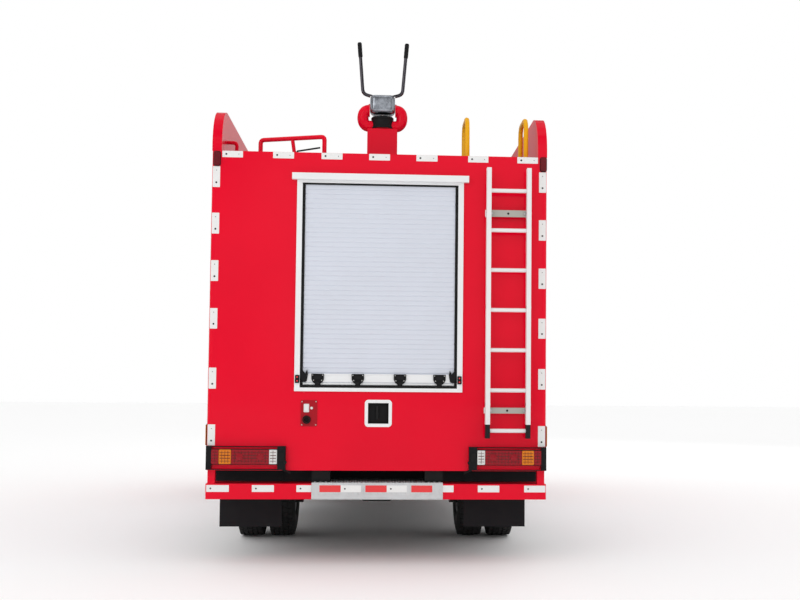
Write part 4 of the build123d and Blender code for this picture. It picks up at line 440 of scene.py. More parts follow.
TOP_TAPE_HEIGHT, SIDE_TAPE_WIDTH, BUMPER_TAPE_HEIGHT = 0.048, 0.054, 0.05
TAPE_THICK, TAPE_CORNER = 0.0015, 0.003
STEP_HALF = 0.482  # half the step's width
STEP_FACE_Y = TAIL_Y - 0.008

whites, dots, reds = meshes(3)


def tape_dot(x, y, z, radius):
    turned(dots, (x, y - 0.0012, z), BACK, ((0, radius), (0.0012, radius), (0.0018, 0)), 12)


for left, right in TOP_TAPES:
    plate(whites, ((left + right) / 2, TAIL_Y, TOP_TAPE_Z), (right - left, TOP_TAPE_HEIGHT), TAPE_CORNER,
          TAPE_THICK)
    tape_dot(left + 0.03, TAIL_Y, TOP_TAPE_Z, 0.007)
    tape_dot(right - 0.03, TAIL_Y, TOP_TAPE_Z, 0.003)
for columns, x in ((LEFT_TAPES, -SIDE_TAPE_X), (RIGHT_TAPES, SIDE_TAPE_X)):
    for bottom, top in columns:
        plate(whites, (x, TAIL_Y, (bottom + top) / 2), (SIDE_TAPE_WIDTH, top - bottom), TAPE_CORNER, TAPE_THICK)
        tape_dot(x, TAIL_Y, bottom + 0.035, 0.007)
        tape_dot(x, TAIL_Y, top - 0.03, 0.003)
for left, right in BUMPER_WHITES:
    on_step = -STEP_HALF < (left + right) / 2 < STEP_HALF
    y = STEP_FACE_Y if on_step else TAIL_Y
    if on_step:
        right = min(right, STEP_HALF)
    elif left < -STEP_HALF < right:
        right = -STEP_HALF - 0.001
    plate(whites, ((left + right) / 2, y, BUMPER_TAPE_Z), (right - left, BUMPER_TAPE_HEIGHT), TAPE_CORNER,
          TAPE_THICK)
    tape_dot(left + 0.03, y, BUMPER_TAPE_Z, 0.006)
for left, right in BUMPER_REDS:
    plate(reds, ((left + right) / 2, STEP_FACE_Y, BUMPER_TAPE_Z), (right - left - 0.002, BUMPER_TAPE_HEIGHT),
          TAPE_CORNER, TAPE_THICK)
piece("tapes_white", whites, tape_white)
piece("tape_dots", dots, black_plastic)
piece("tapes_red", reds, tape_red)

# Marker lamps at the rear wall's top corners: X, Z
markers, bezels = meshes(2)
for x, z in ((-1.213, 2.985), (1.221, 2.99)):
    plate(bezels, (x, TAIL_Y, z), (0.054, 0.112), 0.016, 0.006)
    plate(markers, (x, TAIL_Y - 0.006, z), (0.046, 0.104), 0.014, 0.009)
piece("corner_marker_bezels", bezels, black_plastic)
piece("corner_markers", markers, marker_red)

# Tail lamps. Lenses: near X, far X, lens
LENSES = ((0.733, 0.789, lens_clear), (0.791, 1.062, lens_red), (1.064, 1.152, lens_amber), (1.154, 1.206, lens_red))
LENS_Z = (0.739, 0.844)
LAMP_Y = TAIL_Y - 0.048
ribs = bmesh.new()
for side, hand in ((-1, "left"), (1, "right")):
    for index, (near, far, mat) in enumerate(LENSES):
        bm = bmesh.new()
        middle_z, height = sum(LENS_Z) / 2, LENS_Z[1] - LENS_Z[0]
        plate(bm, (side * (near + far) / 2, LAMP_Y, middle_z), (far - near, height), 0.006, 0.008)
        # ribs moulded across and along the lens
        columns = max(2, round((far - near) / 0.024))
        for column in range(1, columns):
            x = side * (near + (far - near) * column / columns)
            block(ribs, (x - 0.0012, x + 0.0012), (LAMP_Y - 0.0092, LAMP_Y - 0.007),
                  (LENS_Z[0] + 0.008, LENS_Z[1] - 0.008))
        for row in range(1, 5):
            z = LENS_Z[0] + height * row / 5
            wide = 0.0022 if row in (2, 3) else 0.0012
            block(ribs, (side * (near + 0.006), side * (far - 0.006)), (LAMP_Y - 0.0094, LAMP_Y - 0.007),
                  (z - wide, z + wide))
        piece(f"tail_lens_{hand}_{index}", bm, mat)
piece("tail_lens_ribs", ribs, lens_rib)
reflectors, housing, cables = meshes(3)
for side in (-1, 1):
    for x in (0.85, 1.003):
        turned(reflectors, (side * x, LAMP_Y - 0.008, 0.7915), BACK,
               ((0, 0.026), (0.004, 0.026), (0.006, 0.023), (0.0065, 0)), 28)
    # seams between the lenses, a rim round them, and end blocks with screws
    for x in (0.79, 1.063, 1.153):
        block(housing, (side * (x - 0.0025), side * (x + 0.0025)), (LAMP_Y - 0.0065, LAMP_Y), LENS_Z)
    for z in (0.7375, 0.8455):
        block(housing, (side * 0.731, side * 1.209), (LAMP_Y - 0.007, LAMP_Y), (z - 0.0025, z + 0.0025))
    for z in (0.715, 0.85):
        for x in (0.69, 1.227):
            screw(housing, (side * x, LAMP_Y, z), BACK, 0.008)
    rod(cables, (side * 0.69, LAMP_Y + 0.012, 0.7), (side * 0.64, TAIL_Y + 0.004, 0.672), 0.008, 12)
    stud(cables, (side * 0.676, LAMP_Y + 0.004, 0.752), BACK, 0.016, 0.008, 0.01, 0.012, 6)
    plate(cables, (side * 0.702, LAMP_Y, 0.79), (0.04, 0.066), 0.008, 0.007)
piece("tail_reflectors", reflectors, lens_red)
piece("tail_lamp_rims", housing, black_plastic)
piece("tail_lamp_cables", cables, seal_rubber)

# Rear shutter: seals, bottom bar, shield-shaped latches, corner brackets and guide ends
seals = bmesh.new()
for side in (-1, 1):
    block(seals, (side * 0.559, side * 0.58), (TAIL_Y + 0.002, TAIL_Y + 0.013), (1.312, 2.816))
block(seals, (-0.58, 0.58), (TAIL_Y - 0.013, TAIL_Y + 0.01), (1.297, 1.317))
block(seals, (-0.58, 0.58), (TAIL_Y - 0.002, TAIL_Y + 0.012), (2.806, 2.817))
piece("shutter_seals", seals, seal_rubber, bevel=0.002)
bar = bmesh.new()
block(bar, (-0.558, 0.558), (TAIL_Y, TAIL_Y + 0.009), (1.338, 1.4))
block(bar, (-0.558, 0.558), (TAIL_Y - 0.003, TAIL_Y + 0.002), (1.39, 1.4))
block(bar, (-0.558, 0.558), (TAIL_Y + 0.001, TAIL_Y + 0.009), (1.319, 1.334))
piece("shutter_bottom_bar", bar, white_frame, bevel=0.0025)
SHIELD = ((-0.046, 1.4), (-0.046, 1.36), (-0.036, 1.338), (-0.019, 1.326), (-0.017, 1.296),
          (0.017, 1.296), (0.019, 1.326), (0.036, 1.338), (0.046, 1.36), (0.046, 1.4))
latches, latch_screws, knobs = meshes(3)
for x in (-0.449, -0.154, 0.157, 0.45):
    prism(latches, [(x + u, v) for u, v in SHIELD], TAIL_Y + 0.004, TAIL_Y - 0.012)
    plate(knobs, (x, TAIL_Y - 0.012, 1.373), (0.056, 0.03), 0.01, 0.01)
    stud(knobs, (x, TAIL_Y - 0.012, 1.33), BACK, 0.013, 0.008, 0.01, 0.009)
    for u, v in ((-0.036, 1.39), (0.036, 1.39), (-0.03, 1.352), (0.03, 1.352)):
        screw(latch_screws, (x + u, TAIL_Y - 0.012, v), BACK, 0.0042)
for side in (-1, 1):
    for part in (((0.52, 1.398), (0.527, 1.43), (0.54, 1.402), (0.54, 1.338), (0.528, 1.345)),
                 ((0.54, 1.402), (0.565, 1.43), (0.572, 1.42), (0.572, 1.372), (0.558, 1.338), (0.54, 1.338))):
        prism(latches, [(side * u, v) for u, v in part], TAIL_Y + 0.004, TAIL_Y - 0.013)
    plate(latches, (side * 0.598, TAIL_Y - 0.012, 1.36), (0.032, 0.06), 0.006, 0.012)
piece("shutter_latches", latches, black_plastic, bevel=0.0015)
piece("shutter_latch_knobs", knobs, grip_rubber)
piece("shutter_latch_screws", latch_screws, zinc)
guide_dots = bmesh.new()
for side in (-1, 1):
    for z in (1.346, 1.374):
        screw(guide_dots, (side * 0.598, TAIL_Y - 0.024, z), BACK, 0.006, 0.002)
piece("shutter_guide_dots", guide_dots, tape_red)
# end caps of the roller housing over the shutter
caps = bmesh.new()
for side in (-1, 1):
    block(caps, (side * 0.652, side * 0.6565), (TAIL_Y - 0.0455, TAIL_Y), (2.8375, 2.8865))
piece("shutter_housing_caps", caps, white_frame, bevel=0.001)

# Charging panel: rocker switch, button, black socket ring and corner screws
PANEL_Y = TAIL_Y - 0.005
switch, ring, panel_screws = meshes(3)
plate(switch, (-0.5275, PANEL_Y, 1.147), (0.04, 0.062), 0.006, 0.004)
block(switch, (-0.541, -0.514), (PANEL_Y - 0.009, PANEL_Y - 0.004), (1.122, 1.172))
stud(switch, (-0.4895, PANEL_Y, 1.147), BACK, 0.01, 0.006, 0.009, 0.007)
turned(ring, (-0.526, PANEL_Y, 1.062), BACK,
       ((0, 0.031), (0.018, 0.03), (0.0225, 0.0285), (0.0225, 0.0205), (0.003, 0.0195), (0.003, 0)), 32)
for x in (-0.56, -0.458):
    for z in (1.024, 1.194):
        screw(panel_screws, (x, PANEL_Y, z), BACK, 0.0045)
piece("panel_switches", switch, switch_white, bevel=0.0012)
piece("panel_socket_ring", ring, black_plastic)
piece("panel_screws", panel_screws, zinc)

# Hatch: dark lining and an upright handle
HATCH_Z = 1.111
HATCH_OUT, HATCH_IN = 0.0755, 0.072  # half the lining's width outside and inside its walls
HANDLE_X, HANDLE_Y = -0.008, TAIL_Y + 0.006
lining, handle = meshes(2)
plate(lining, (0, TAIL_Y + 0.03, HATCH_Z), (2 * HATCH_OUT, 2 * HATCH_OUT), 0.004, 0.004)
for way in (-1, 1):
    wall, whole = (way * HATCH_IN, way * (HATCH_IN + 0.003)), (-HATCH_OUT, HATCH_OUT)
    for xs, zs in ((whole, wall), (wall, whole)):
        block(lining, xs, (TAIL_Y - 0.004, TAIL_Y + 0.03), (HATCH_Z + zs[0], HATCH_Z + zs[1]))
rod(handle, (HANDLE_X, HANDLE_Y, HATCH_Z - 0.045), (HANDLE_X, HANDLE_Y, HATCH_Z + 0.05), 0.01, 20)
for v in (-0.03, 0.035):
    rod(handle, (HANDLE_X, HANDLE_Y, HATCH_Z + v), (HANDLE_X, TAIL_Y + 0.028, HATCH_Z + v), 0.007, 12)
piece("hatch_lining", lining, black_plastic)
piece("hatch_handle", handle, chassis_paint, bevel=0.002)

# Ladder: U-bolts and bolts on the crossbars, clamps and a hole
STILES_X = (0.802, 1.1015)
bolts, holes = meshes(2)
for bottom, top in LADDER_BARS_Z:
    z = (bottom + top) / 2
    bar_back_y = LADDER_Y + 0.06
    for x in STILES_X:
        for near in (-1, 1):
            bolt_x = x + near * 0.027
            if 0.8 < bolt_x < 1.105:
                hex_nut(bolts, (bolt_x, bar_back_y, z), BACK, 0.01, 0.01)
        rod(bolts, (x - 0.02, LADDER_Y + 0.02, z), (x + 0.02, LADDER_Y + 0.02, z), 0.0045, 10)
    turned(holes, (0.951, bar_back_y + 0.0005, z), BACK, ((0, 0.009), (0.0012, 0.008), (0.0012, 0)), 20)
for x in STILES_X:
    for z in (1.185, 1.905):
        block(bolts, (x - 0.0185, x + 0.0185), (LADDER_Y + 0.004, LADDER_Y + 0.058),
              (z - 0.01, z + 0.01))
        screw(bolts, (x + 0.0185, LADDER_Y + 0.03, z), (1, 0, 0), 0.006)
piece("ladder_fixings", bolts, galvanised, bevel=0.001)
piece("ladder_bar_holes", holes, seal_rubber)

# Roof rail's stay behind the rear edge of the roof, and covers on the deck
stay = bmesh.new()
stay_line = [(x, TAIL_Y + 0.5, z) for x, z in ((-0.66, DECK_TOP), (-0.66, 3.15), (-0.48, 3.182))]
for start, end in zip(stay_line, stay_line[1:]):
    rod(stay, start, end, 0.007, 12)
piece("deck_stay", stay, chassis_paint)
COVER_PROFILE = ((0, 0.3), (0.035, 0.3), (0.04, 0.295), (0.04, 0.27), (0.052, 0.262), (0.058, 0.2), (0.06, 0))


def bolt_circle(bm, centre, facing, circle, count, radius, height, first=0.0):
    """Hex nuts on a circle about a line along X, Y or Z; the first is set off by its share of the spacing."""
    for index in range(count):
        u, v = on_circle(circle, (index + first) / count)
        offset = (0, u, v) if facing[0] else (u, 0, v) if facing[1] else (u, v, 0)
        hex_nut(bm, Vector(centre) + Vector(offset), facing, radius, height)


covers, cover_bolts = meshes(2)
for y in (TAIL_Y + 1.75, TAIL_Y + 3.35):
    turned(covers, (0, y, DECK_TOP), UP, COVER_PROFILE)
    rod(covers, (-0.09, y, DECK_TOP + 0.085), (0.09, y, DECK_TOP + 0.085), 0.009)
    for x in (-0.09, 0.09):
        rod(covers, (x, y, DECK_TOP + 0.055), (x, y, DECK_TOP + 0.085), 0.009)
    bolt_circle(cover_bolts, (0, y, DECK_TOP + 0.04), UP, 0.283, 12, 0.011, 0.01)
piece("deck_covers", covers, bare_aluminium)
piece("deck_cover_bolts", cover_bolts, zinc)

# Monitor: black swivel sleeve, horns, cast head, barrel, flanges with bolts, and grips
sleeve, flange_bolts = meshes(2)
turned(sleeve, (MONITOR.x, MONITOR.y, 3.364), UP,
       ((0, 0.085), (0, 0.09), (0.012, 0.09), (0.016, 0.0865), (0.072, 0.0865), (0.076, 0.09), (0.088, 0.09),
        (0.094, 0.084), (0.094, 0.0)))
bolt_circle(flange_bolts, (MONITOR.x, MONITOR.y, 3.457), UP, 0.076, 10, 0.006, 0.006, 0.5)
piece("monitor_sleeve", sleeve, black_plastic, "monitor_base")
piece("monitor_sleeve_bolts", flange_bolts, zinc, "monitor_base")


def tube(bm, points, radius, sides=28, runs=6):
    """A round tube along a smooth curve through points."""
    line = []
    longer = [points[0], *points, points[-1]]
    for before, start, end, after in zip(longer, points, points[1:], longer[3:]):
        for run in range(runs):
            t = run / runs
            line.append(0.5 * ((2 * start) + (end - before) * t + (2 * before - 5 * start + 4 * end - after) * t**2
                               + (3 * start - before - 3 * end + after) * t**3))
    line.append(points[-1])
    rings, across = [], Vector((0, 1, 0))
    for index, centre in enumerate(line):
        along = (line[min(index + 1, len(line) - 1)] - line[max(index - 1, 0)]).normalized()
        across = (across - across.dot(along) * along).normalized()
        up = along.cross(across)
        circle = [on_circle(radius, i / sides) for i in range(sides)]
        rings.append([bm.verts.new(centre + u * across + v * up) for u, v in circle])
    skin(bm, rings)


# the horns' middle line on one side: X from the monitor's middle, Z from the trunnions
HORN_LINE = ((0.05, -0.166), (0.085, -0.168), (0.124, -0.164), (0.148, -0.14), (0.156, -0.105), (0.151, -0.07),
             (0.136, -0.049), (0.118, -0.041), (0.1025, -0.04))
HORN_R = 0.045
horns = bmesh.new()
for side in (-1, 1):
    tube(horns, [MONITOR + Vector((side * x, 0, z)) for x, z in HORN_LINE], HORN_R)
    turned(horns, MONITOR + Vector((side * 0.1015, 0, -0.04)), (side, 0, 0),
           ((0, 0.0), (0, HORN_R + 0.007), (0.008, HORN_R + 0.007), (0.011, HORN_R + 0.003), (0.012, HORN_R)), 40)
turned(horns, MONITOR + Vector((0, 0, -0.193)), UP, ((0, 0), (0, 0.08), (0.09, 0.08), (0.09, 0)), 48)
made = piece("monitor_horns", horns, red_paint, "monitor_base", angle=50)
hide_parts("monitor_turret")
head = bmesh.new()
block(head, *((middle - half, middle + half) for middle, half in zip(MONITOR, (0.1, 0.078, 0.078))))
made = piece("monitor_head_casting", head, monitor_grey, "monitor_head", bevel=0.04, segments=8)
barrel = bmesh.new()
turned(barrel, MONITOR, AHEAD,
       ((0.07, 0), (0.07, 0.062), (0.09, 0.062), (0.094, 0.056), (0.18, 0.054), (0.21, 0.046), (0.215, 0.049),
        (0.235, 0.049), (0.24, 0.0455), (0.53, 0.04), (0.54, 0.046), (0.59, 0.046), (0.59, 0.035), (0.47, 0.035),
        (0.47, 0)), 48)
made = piece("monitor_barrel_tube", barrel, monitor_grey, "monitor_head", angle=40)
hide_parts("monitor_barrel")
grips, lips, head_bolts = meshes(3)
for side in (-1, 1):
    tip = Vector((MONITOR.x + side * 0.191, MONITOR.y, 4.066))
    along = (Vector((MONITOR.x + side * 0.158, MONITOR.y, 3.65)) - tip).normalized()
    profile = [(0.0015, 0), (0.0015, 0.013), (0.004, 0.0165)]
    for ridge in range(9):
        low = 0.01 + ridge * 0.0115
        profile += [(low, 0.0165), (low + 0.002, 0.0178), (low + 0.007, 0.0178), (low + 0.009, 0.0165)]
    profile += [(0.118, 0.0165), (0.12, 0.0142)]
    turned(grips, tip, along, profile, 24)
bolt_circle(head_bolts, MONITOR + Vector((0, 0.092, 0)), AHEAD, 0.05, 4, 0.007, 0.008, 0.5)
turned(lips, MONITOR + Vector((0, 0.535, 0)), AHEAD,
       ((0, 0.0415), (0, 0.05), (0.006, 0.052), (0.046, 0.052), (0.053, 0.048), (0.0535, 0.036), (0.04, 0.0352)), 48)
piece("monitor_grips", grips, grip_rubber, "monitor_head")
piece("monitor_outlet_lip", lips, bare_aluminium, "monitor_head")
piece("monitor_head_bolts", head_bolts, zinc, "monitor_head")

# Black plates that close the view over the rear bumper: painted shade in place of the dark space under the body
gap_shade = bmesh.new()
plate(gap_shade, (0, TAIL_Y + 0.405, 0.615), (0.84, 0.15), 0.006, 0.006)
for side in (-1, 1):
    plate(gap_shade, (side * 0.865, TAIL_Y + 0.405, 0.628), (0.76, 0.124), 0.006, 0.006)
piece("rear_gap_shade_plates", gap_shade, flap_rubber)

# The rear step: a serrated strip along its tread's rear edge and grip cups across it
serrations, cups = meshes(2)
STEP_TOP_Z = 0.601
for index in range(96):
    x = -0.475 + index * 0.01
    prism(serrations, ((x, STEP_TOP_Z), (x + 0.006, STEP_TOP_Z), (x + 0.003, STEP_TOP_Z + 0.006)),
          TAIL_Y - 0.006, TAIL_Y + 0.01)
CUP_PROFILE = ((0, 0.011), (0.004, 0.009), (0.004, 0.006), (0.0005, 0.005), (0.0005, 0))
for row in range(4):
    for index in range(24):
        x, y = -0.46 + index * 0.04 + 0.02 * (row % 2), TAIL_Y + 0.045 + row * 0.045
        turned(cups, (min(x, 0.46), y, STEP_TOP_Z), UP, CUP_PROFILE, 12)
piece("step_serrations", serrations, step_metal)
piece("step_grip_cups", cups, step_metal)

# U-bolts and clamp plates that hold the springs to the axles
# springs: middle X, axle Y, underside of the leaves, height of the pack, distance of the bolts from the axle
SPRINGS = ((0.39, FRONT_AXLE_Y, 0.52, 0.056, 0.06), (0.48, REAR_AXLE_Y, 0.59, 0.08, 0.105))
ubolts, plates = meshes(2)
for mid, axle_y, seat_z, pack, reach in SPRINGS:
    top = seat_z + pack
    for side in (-1, 1):
        x = side * mid
        block(plates, (x - 0.058, x + 0.058), (axle_y - reach - 0.015, axle_y + reach + 0.015), (top, top + 0.014))
        for y in (axle_y - reach, axle_y + reach):
            for out in (-0.047, 0.047):
                rod(ubolts, (x + out, y, seat_z - 0.05), (x + out, y, top + 0.04), 0.008, 10)
                hex_nut(ubolts, (x + out, y, top + 0.014), UP, 0.015, 0.016)
            rod(ubolts, (x - 0.05, y, seat_z - 0.05), (x + 0.05, y, seat_z - 0.05), 0.008, 10)
piece("spring_u_bolts", ubolts, zinc)
piece("spring_clamp_plates", plates, axle_iron, bevel=0.002)


# Road tyres: a turned carcass with rows of tread blocks
TREAD_PITCHES = 54
# rows of blocks across the tread: near edge, far edge, both from the tyre's middle
TREAD_ROWS = ((-0.096, -0.064), (-0.056, -0.023), (-0.0155, 0.0155), (0.023, 0.056), (0.064, 0.096))
# half of the carcass: distance from the tyre's middle, radius
CARCASS = ((0.086, 0.2875), (0.094, 0.29), (0.0965, 0.2985), (0.104, 0.31), (0.1075, 0.313), (0.1085, 0.3165),
           (0.1105, 0.32), (0.114, 0.35), (0.1148, 0.38), (0.1135, 0.405), (0.112, 0.41), (0.1128, 0.4125),
           (0.111, 0.416), (0.108, 0.435), (0.102, 0.456), (0.0955, 0.4685), (0.06, 0.4715), (0.0000, 0.4722))
BLOCK_FOOT_R = 0.466  # where the blocks stand in the carcass
BLOCK_CHAMFER = 0.0018


def crown(reach):
    """The tread's radius at a distance from the tyre's middle."""
    return TYRE_R - 0.0008 - 0.0055 * (abs(reach) / 0.096) ** 2


def tread_block(bm, x, axle_y, near, far, start, end):
    """One block of tread, standing on the carcass, with a chamfer round its face."""

    def at(reach, radius, turn):
        return bm.verts.new((x + reach, axle_y + radius * math.cos(turn), TYRE_R + radius * math.sin(turn)))

    swing = BLOCK_CHAMFER / TYRE_R
    turns = (start, (start + end) / 2, end)
    foot = [at(reach, BLOCK_FOOT_R, turn) for turn in turns for reach in (near, far)]
    shoulder = [at(reach, crown(reach) - BLOCK_CHAMFER, turn) for turn in turns for reach in (near, far)]
    face_turns, face_reach = (start + swing, turns[1], end - swing), (near + BLOCK_CHAMFER, far - BLOCK_CHAMFER)
    face = [at(reach, crown(reach), turn) for turn in face_turns for reach in face_reach]
    edge = (0, 1, 3, 5, 4, 2)
    for low, high in ((foot, shoulder), (shoulder, face)):
        for i in range(6):
            a, b = edge[i], edge[(i + 1) % 6]
            bm.faces.new((low[a], low[b], high[b], high[a]))
    bm.faces.new((face[0], face[1], face[3], face[2]))
    bm.faces.new((face[2], face[3], face[5], face[4]))


def tyre(bm, x, axle_y):
    profile = [(-reach, radius) for reach, radius in CARCASS] + list(CARCASS[-2::-1])
    turned(bm, (x, axle_y, TYRE_R), (1, 0, 0), profile, 108)
    step = 2 * math.pi / TREAD_PITCHES
    for row, (near, far) in enumerate(TREAD_ROWS):
        lag = (0, 0.5, 0.25, 0.75, 0)[row]
        for pitch in range(TREAD_PITCHES):
            start = (pitch + lag) * step
            tread_block(bm, x, axle_y, near, far, start, start + step * (0.8 if row in (0, 4) else 0.86))


def rim_flange(bm, x, axle_y, way):
    """The rolled edge of a rim on one side."""
    turned(bm, (x, axle_y, TYRE_R), (way, 0, 0),
           ((0.07, 0.272), (0.078, 0.2745), (0.088, 0.2765), (0.093, 0.281), (0.0958, 0.287), (0.0945, 0.2935),
            (0.09, 0.296), (0.086, 0.293), (0.0855, 0.286)), 96)


# Wheels: node name, body, tyre middles, axle Y, disc's outer face, hub's outer face
FRONT_X, INNER_X, OUTER_X = 1.0, 0.809, 1.071
WHEELS = (
    ("front_left", "front_left_wheel", -1, (FRONT_X,), FRONT_AXLE_Y, 0.99, 1.11),
    ("front_right", "front_right_wheel", 1, (FRONT_X,), FRONT_AXLE_Y, 0.99, 1.11),
    ("rear_left", "rear_left_wheels", -1, (INNER_X, OUTER_X), REAR_AXLE_Y, 0.952, 1.091),
    ("rear_right", "rear_right_wheels", 1, (INNER_X, OUTER_X), REAR_AXLE_Y, 0.952, 1.091),
)
NUT_PROFILE = ((0, 0.0175), (0.004, 0.0175), (0.005, 0.0155), (0.024, 0.0155), (0.027, 0.012), (0.027, 0))
for name, body, side, middles, axle_y, disc_x, hub_x in WHEELS:
    rubber, flanges, nuts = meshes(3)
    for middle in middles:
        tyre(rubber, side * middle, axle_y)
        for way in (-1, 1):
            rim_flange(flanges, side * middle, axle_y, way)
    tyre_node = f"{name}_tyre" if len(middles) == 1 else f"{name}_tyres"
    made = piece(f"{name}_road_tyre", rubber, tyre_rubber, body, angle=40)
    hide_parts(tyre_node)
    outward = (side, 0, 0)
    turned(flanges, (side * hub_x, axle_y, TYRE_R), outward,
           ((-0.004, 0.1105), (0.002, 0.1085), (0.004, 0.1045), (0.004, 0.086)))
    turned(flanges, (side * disc_x, axle_y, TYRE_R), outward,
           ((0, 0.158), (0.004, 0.156), (0.005, 0.15), (0.005, 0.112)))
    piece(f"{name}_rim_edges", flanges, rim_paint, body, angle=50)
    for index in range(10):
        along_y, along_z = on_circle(0.1345, index / 10)
        turned(nuts, (side * (disc_x + 0.004), axle_y + along_y, TYRE_R + along_z), outward, NUT_PROFILE, 6)
    bolt_circle(nuts, (side * (hub_x + 0.003), axle_y, TYRE_R), outward, 0.0945, 8, 0.0085, 0.009, 0.5)
    piece(f"{name}_wheel_nuts", nuts, zinc, body, angle=25)


# Cab: places on its raked windscreen
SCREEN_BASE_Z, SCREEN_TOP_Z, SCREEN_RAKE = 1.78, 2.68, 0.3


def on_screen(x, z, out):
    """A point on the windscreen's plane, moved out from it."""
    slope = SCREEN_RAKE / (SCREEN_TOP_Z - SCREEN_BASE_Z)
    return (x, CAB_Y - slope * (z - SCREEN_BASE_Z) + out, z + slope * out)


def outline_of(points):
    """The convex outline round a set of (u, v) points."""
    points = sorted({(round(u, 4), round(v, 4)) for u, v in points})

    def half(way):
        chain = []
        for p in way:
            while len(chain) > 1:
                (ax, ay), (bx, by) = chain[-2:]
                if (bx - ax) * (p[1] - ay) - (by - ay) * (p[0] - ax) > 0:
                    break
                chain.pop()
            chain.append(p)
        return chain[:-1]

    return half(points) + half(points[::-1])


def seal_strip(bm, outline, place, width, height):
    """A rubber strip that laps over the edge of a pane."""
    us, vs = [u for u, _ in outline], [v for _, v in outline]
    mid_u, mid_v = (min(us) + max(us)) / 2, (min(vs) + max(vs)) / 2
    half_u, half_v = max(us) - mid_u, max(vs) - mid_v
    rows = []
    for reach, out in ((0.01, 0.0), (0.008, height), (0.004 - width, height), (-width, 0.0)):
        grow_u, grow_v = 1 + reach / half_u, 1 + reach / half_v
        rows.append([bm.verts.new(place(mid_u + (u - mid_u) * grow_u, mid_v + (v - mid_v) * grow_v, out))
                     for u, v in outline])
    skin(bm, rows, capped=False)


# Door glass seals, handles and locks: door body, side, handle's middle behind the cab's face
DOORS = (("front_left", -1, 1.06), ("rear_left", -1, 2.16), ("front_right", 1, 1.06), ("rear_right", 1, 2.16))
HANDLE_Z = 1.725
for name, side, behind in DOORS:
    body = f"door_{name}"
    seal, handle = meshes(2)
    pane = [v.co for v in nodes[f"door_glass_{name}"].data.vertices]
    face = max(abs(co.x) for co in pane)
    seal_strip(seal, outline_of([(co.y, co.z) for co in pane]), lambda y, z, out: (side * (face + out), y, z),
               0.014, 0.003)
    piece(f"door_seal_{name}", seal, seal_rubber, body)
    outward, y = (side, 0, 0), CAB_Y - behind
    plate(handle, (side * CAB_HALF, y, 1.72), (0.185, 0.066), 0.016, 0.004, outward)
    plate(handle, (side * (CAB_HALF + 0.022), y, HANDLE_Z), (0.16, 0.026), 0.012, 0.01, outward)
    for end in (-0.066, 0.066):
        near, far = ((side * (CAB_HALF + out), y + end, HANDLE_Z) for out in (0.002, 0.026))
        rod(handle, near, far, 0.009, 14)
    stud(handle, (side * (CAB_HALF + 0.003), y, 1.672), outward, 0.014, 0.005, 0.007, 0.01)
    piece(f"door_handle_{name}", handle, black_plastic, body)

screen_seal = bmesh.new()
pane = [v.co for v in nodes["windscreen"].data.vertices]
seal_strip(screen_seal, outline_of([(co.x, co.z) for co in pane]), on_screen, 0.03, 0.005)
piece("windscreen_seal", screen_seal, seal_rubber, "cab")

# Wipers: pivot X, blade's left and right ends X
WIPERS = ((-0.62, -0.98, -0.3), (0.46, 0.1, 0.78))
PIVOT_Z = 1.806
wipers = bmesh.new()
for pivot, left, right in WIPERS:
    middle = (left + right) / 2
    turned(wipers, on_screen(pivot, PIVOT_Z, -0.002), (0, 1, 0.33),
           ((0, 0.02), (0.018, 0.018), (0.024, 0.01), (0.024, 0)), 20)
    rod(wipers, on_screen(pivot, PIVOT_Z, 0.014), on_screen(middle, 1.905, 0.02), 0.006, 10)
    rod(wipers, on_screen(left + 0.1, 1.902, 0.018), on_screen(right - 0.1, 1.912, 0.018), 0.005, 8)
    blade = [on_screen(x, z, 0.01) for x, z in ((left, 1.898), (middle, 1.904), (right, 1.91))]
    for start, end in zip(blade, blade[1:]):
        rod(wipers, start, end, 0.0045, 8)
piece("wipers", wipers, black_plastic, "cab")

# Mirror glass on the rear faces of the mirror heads
mirror, mirror_rims = meshes(2)
for side in (-1, 1):
    for z, height in ((2.235, 0.33), (1.98, 0.12)):
        plate(mirror, (side * 1.35, CAB_Y - 0.1955, z), (0.168, height), 0.018, 0.003)
        plate(mirror_rims, (side * 1.35, CAB_Y - 0.195, z), (0.182, height + 0.014), 0.022, 0.002)
piece("mirror_faces", mirror, mirror_glass, "cab")
piece("mirror_rims", mirror_rims, black_plastic, "cab")

# Light bar: rail, dividers and end caps, and a white work-lamp strip between the blue domes
bar_y, bar_z = CAB_Y - 0.9, (2.83, 2.95)
rail, strip = meshes(2)
for x in (-0.79, -0.28, 0.28, 0.79):
    block(rail, (x - 0.01, x + 0.01), (bar_y - 0.1515, bar_y + 0.1515), (bar_z[0], bar_z[1] + 0.0015))
block(rail, (-0.8, 0.8), (bar_y - 0.152, bar_y + 0.152), (bar_z[0], bar_z[0] + 0.024))
block(strip, (-0.268, 0.268), (bar_y - 0.1515, bar_y + 0.1515), (bar_z[0] + 0.024, bar_z[1] + 0.001))
piece("light_bar_rail", rail, black_plastic, "cab", bevel=0.003)
piece("light_bar_work_lamp", strip, lens_clear, "cab", bevel=0.006)

# Headlamps in the bumper
r = 0.058
bowls, bulbs, amber = meshes(3)
for side in (-1, 1):
    for x in (0.79, 0.915):
        place = (side * x, NOSE_Y - 0.01, 0.64)
        turned(bowls, place, AHEAD, ((0.0, r + 0.006), (0.0085, r + 0.004), (0.0095, r), (0.004, r - 0.006),
                                     (0.002, r - 0.02), (0.001, 0)), 40)
        turned(bulbs, place, AHEAD, ((0.003, r - 0.008), (0.0075, r * 0.5), (0.009, 0)), 32)
    plate(amber, (side * 0.998, NOSE_Y - 0.004, 0.64), (0.036, 0.14), 0.008, 0.0035, AHEAD)
piece("headlamp_bowls", bowls, chrome)
piece("headlamp_lenses", bulbs, lens_clear)
piece("front_indicators", amber, lens_amber)

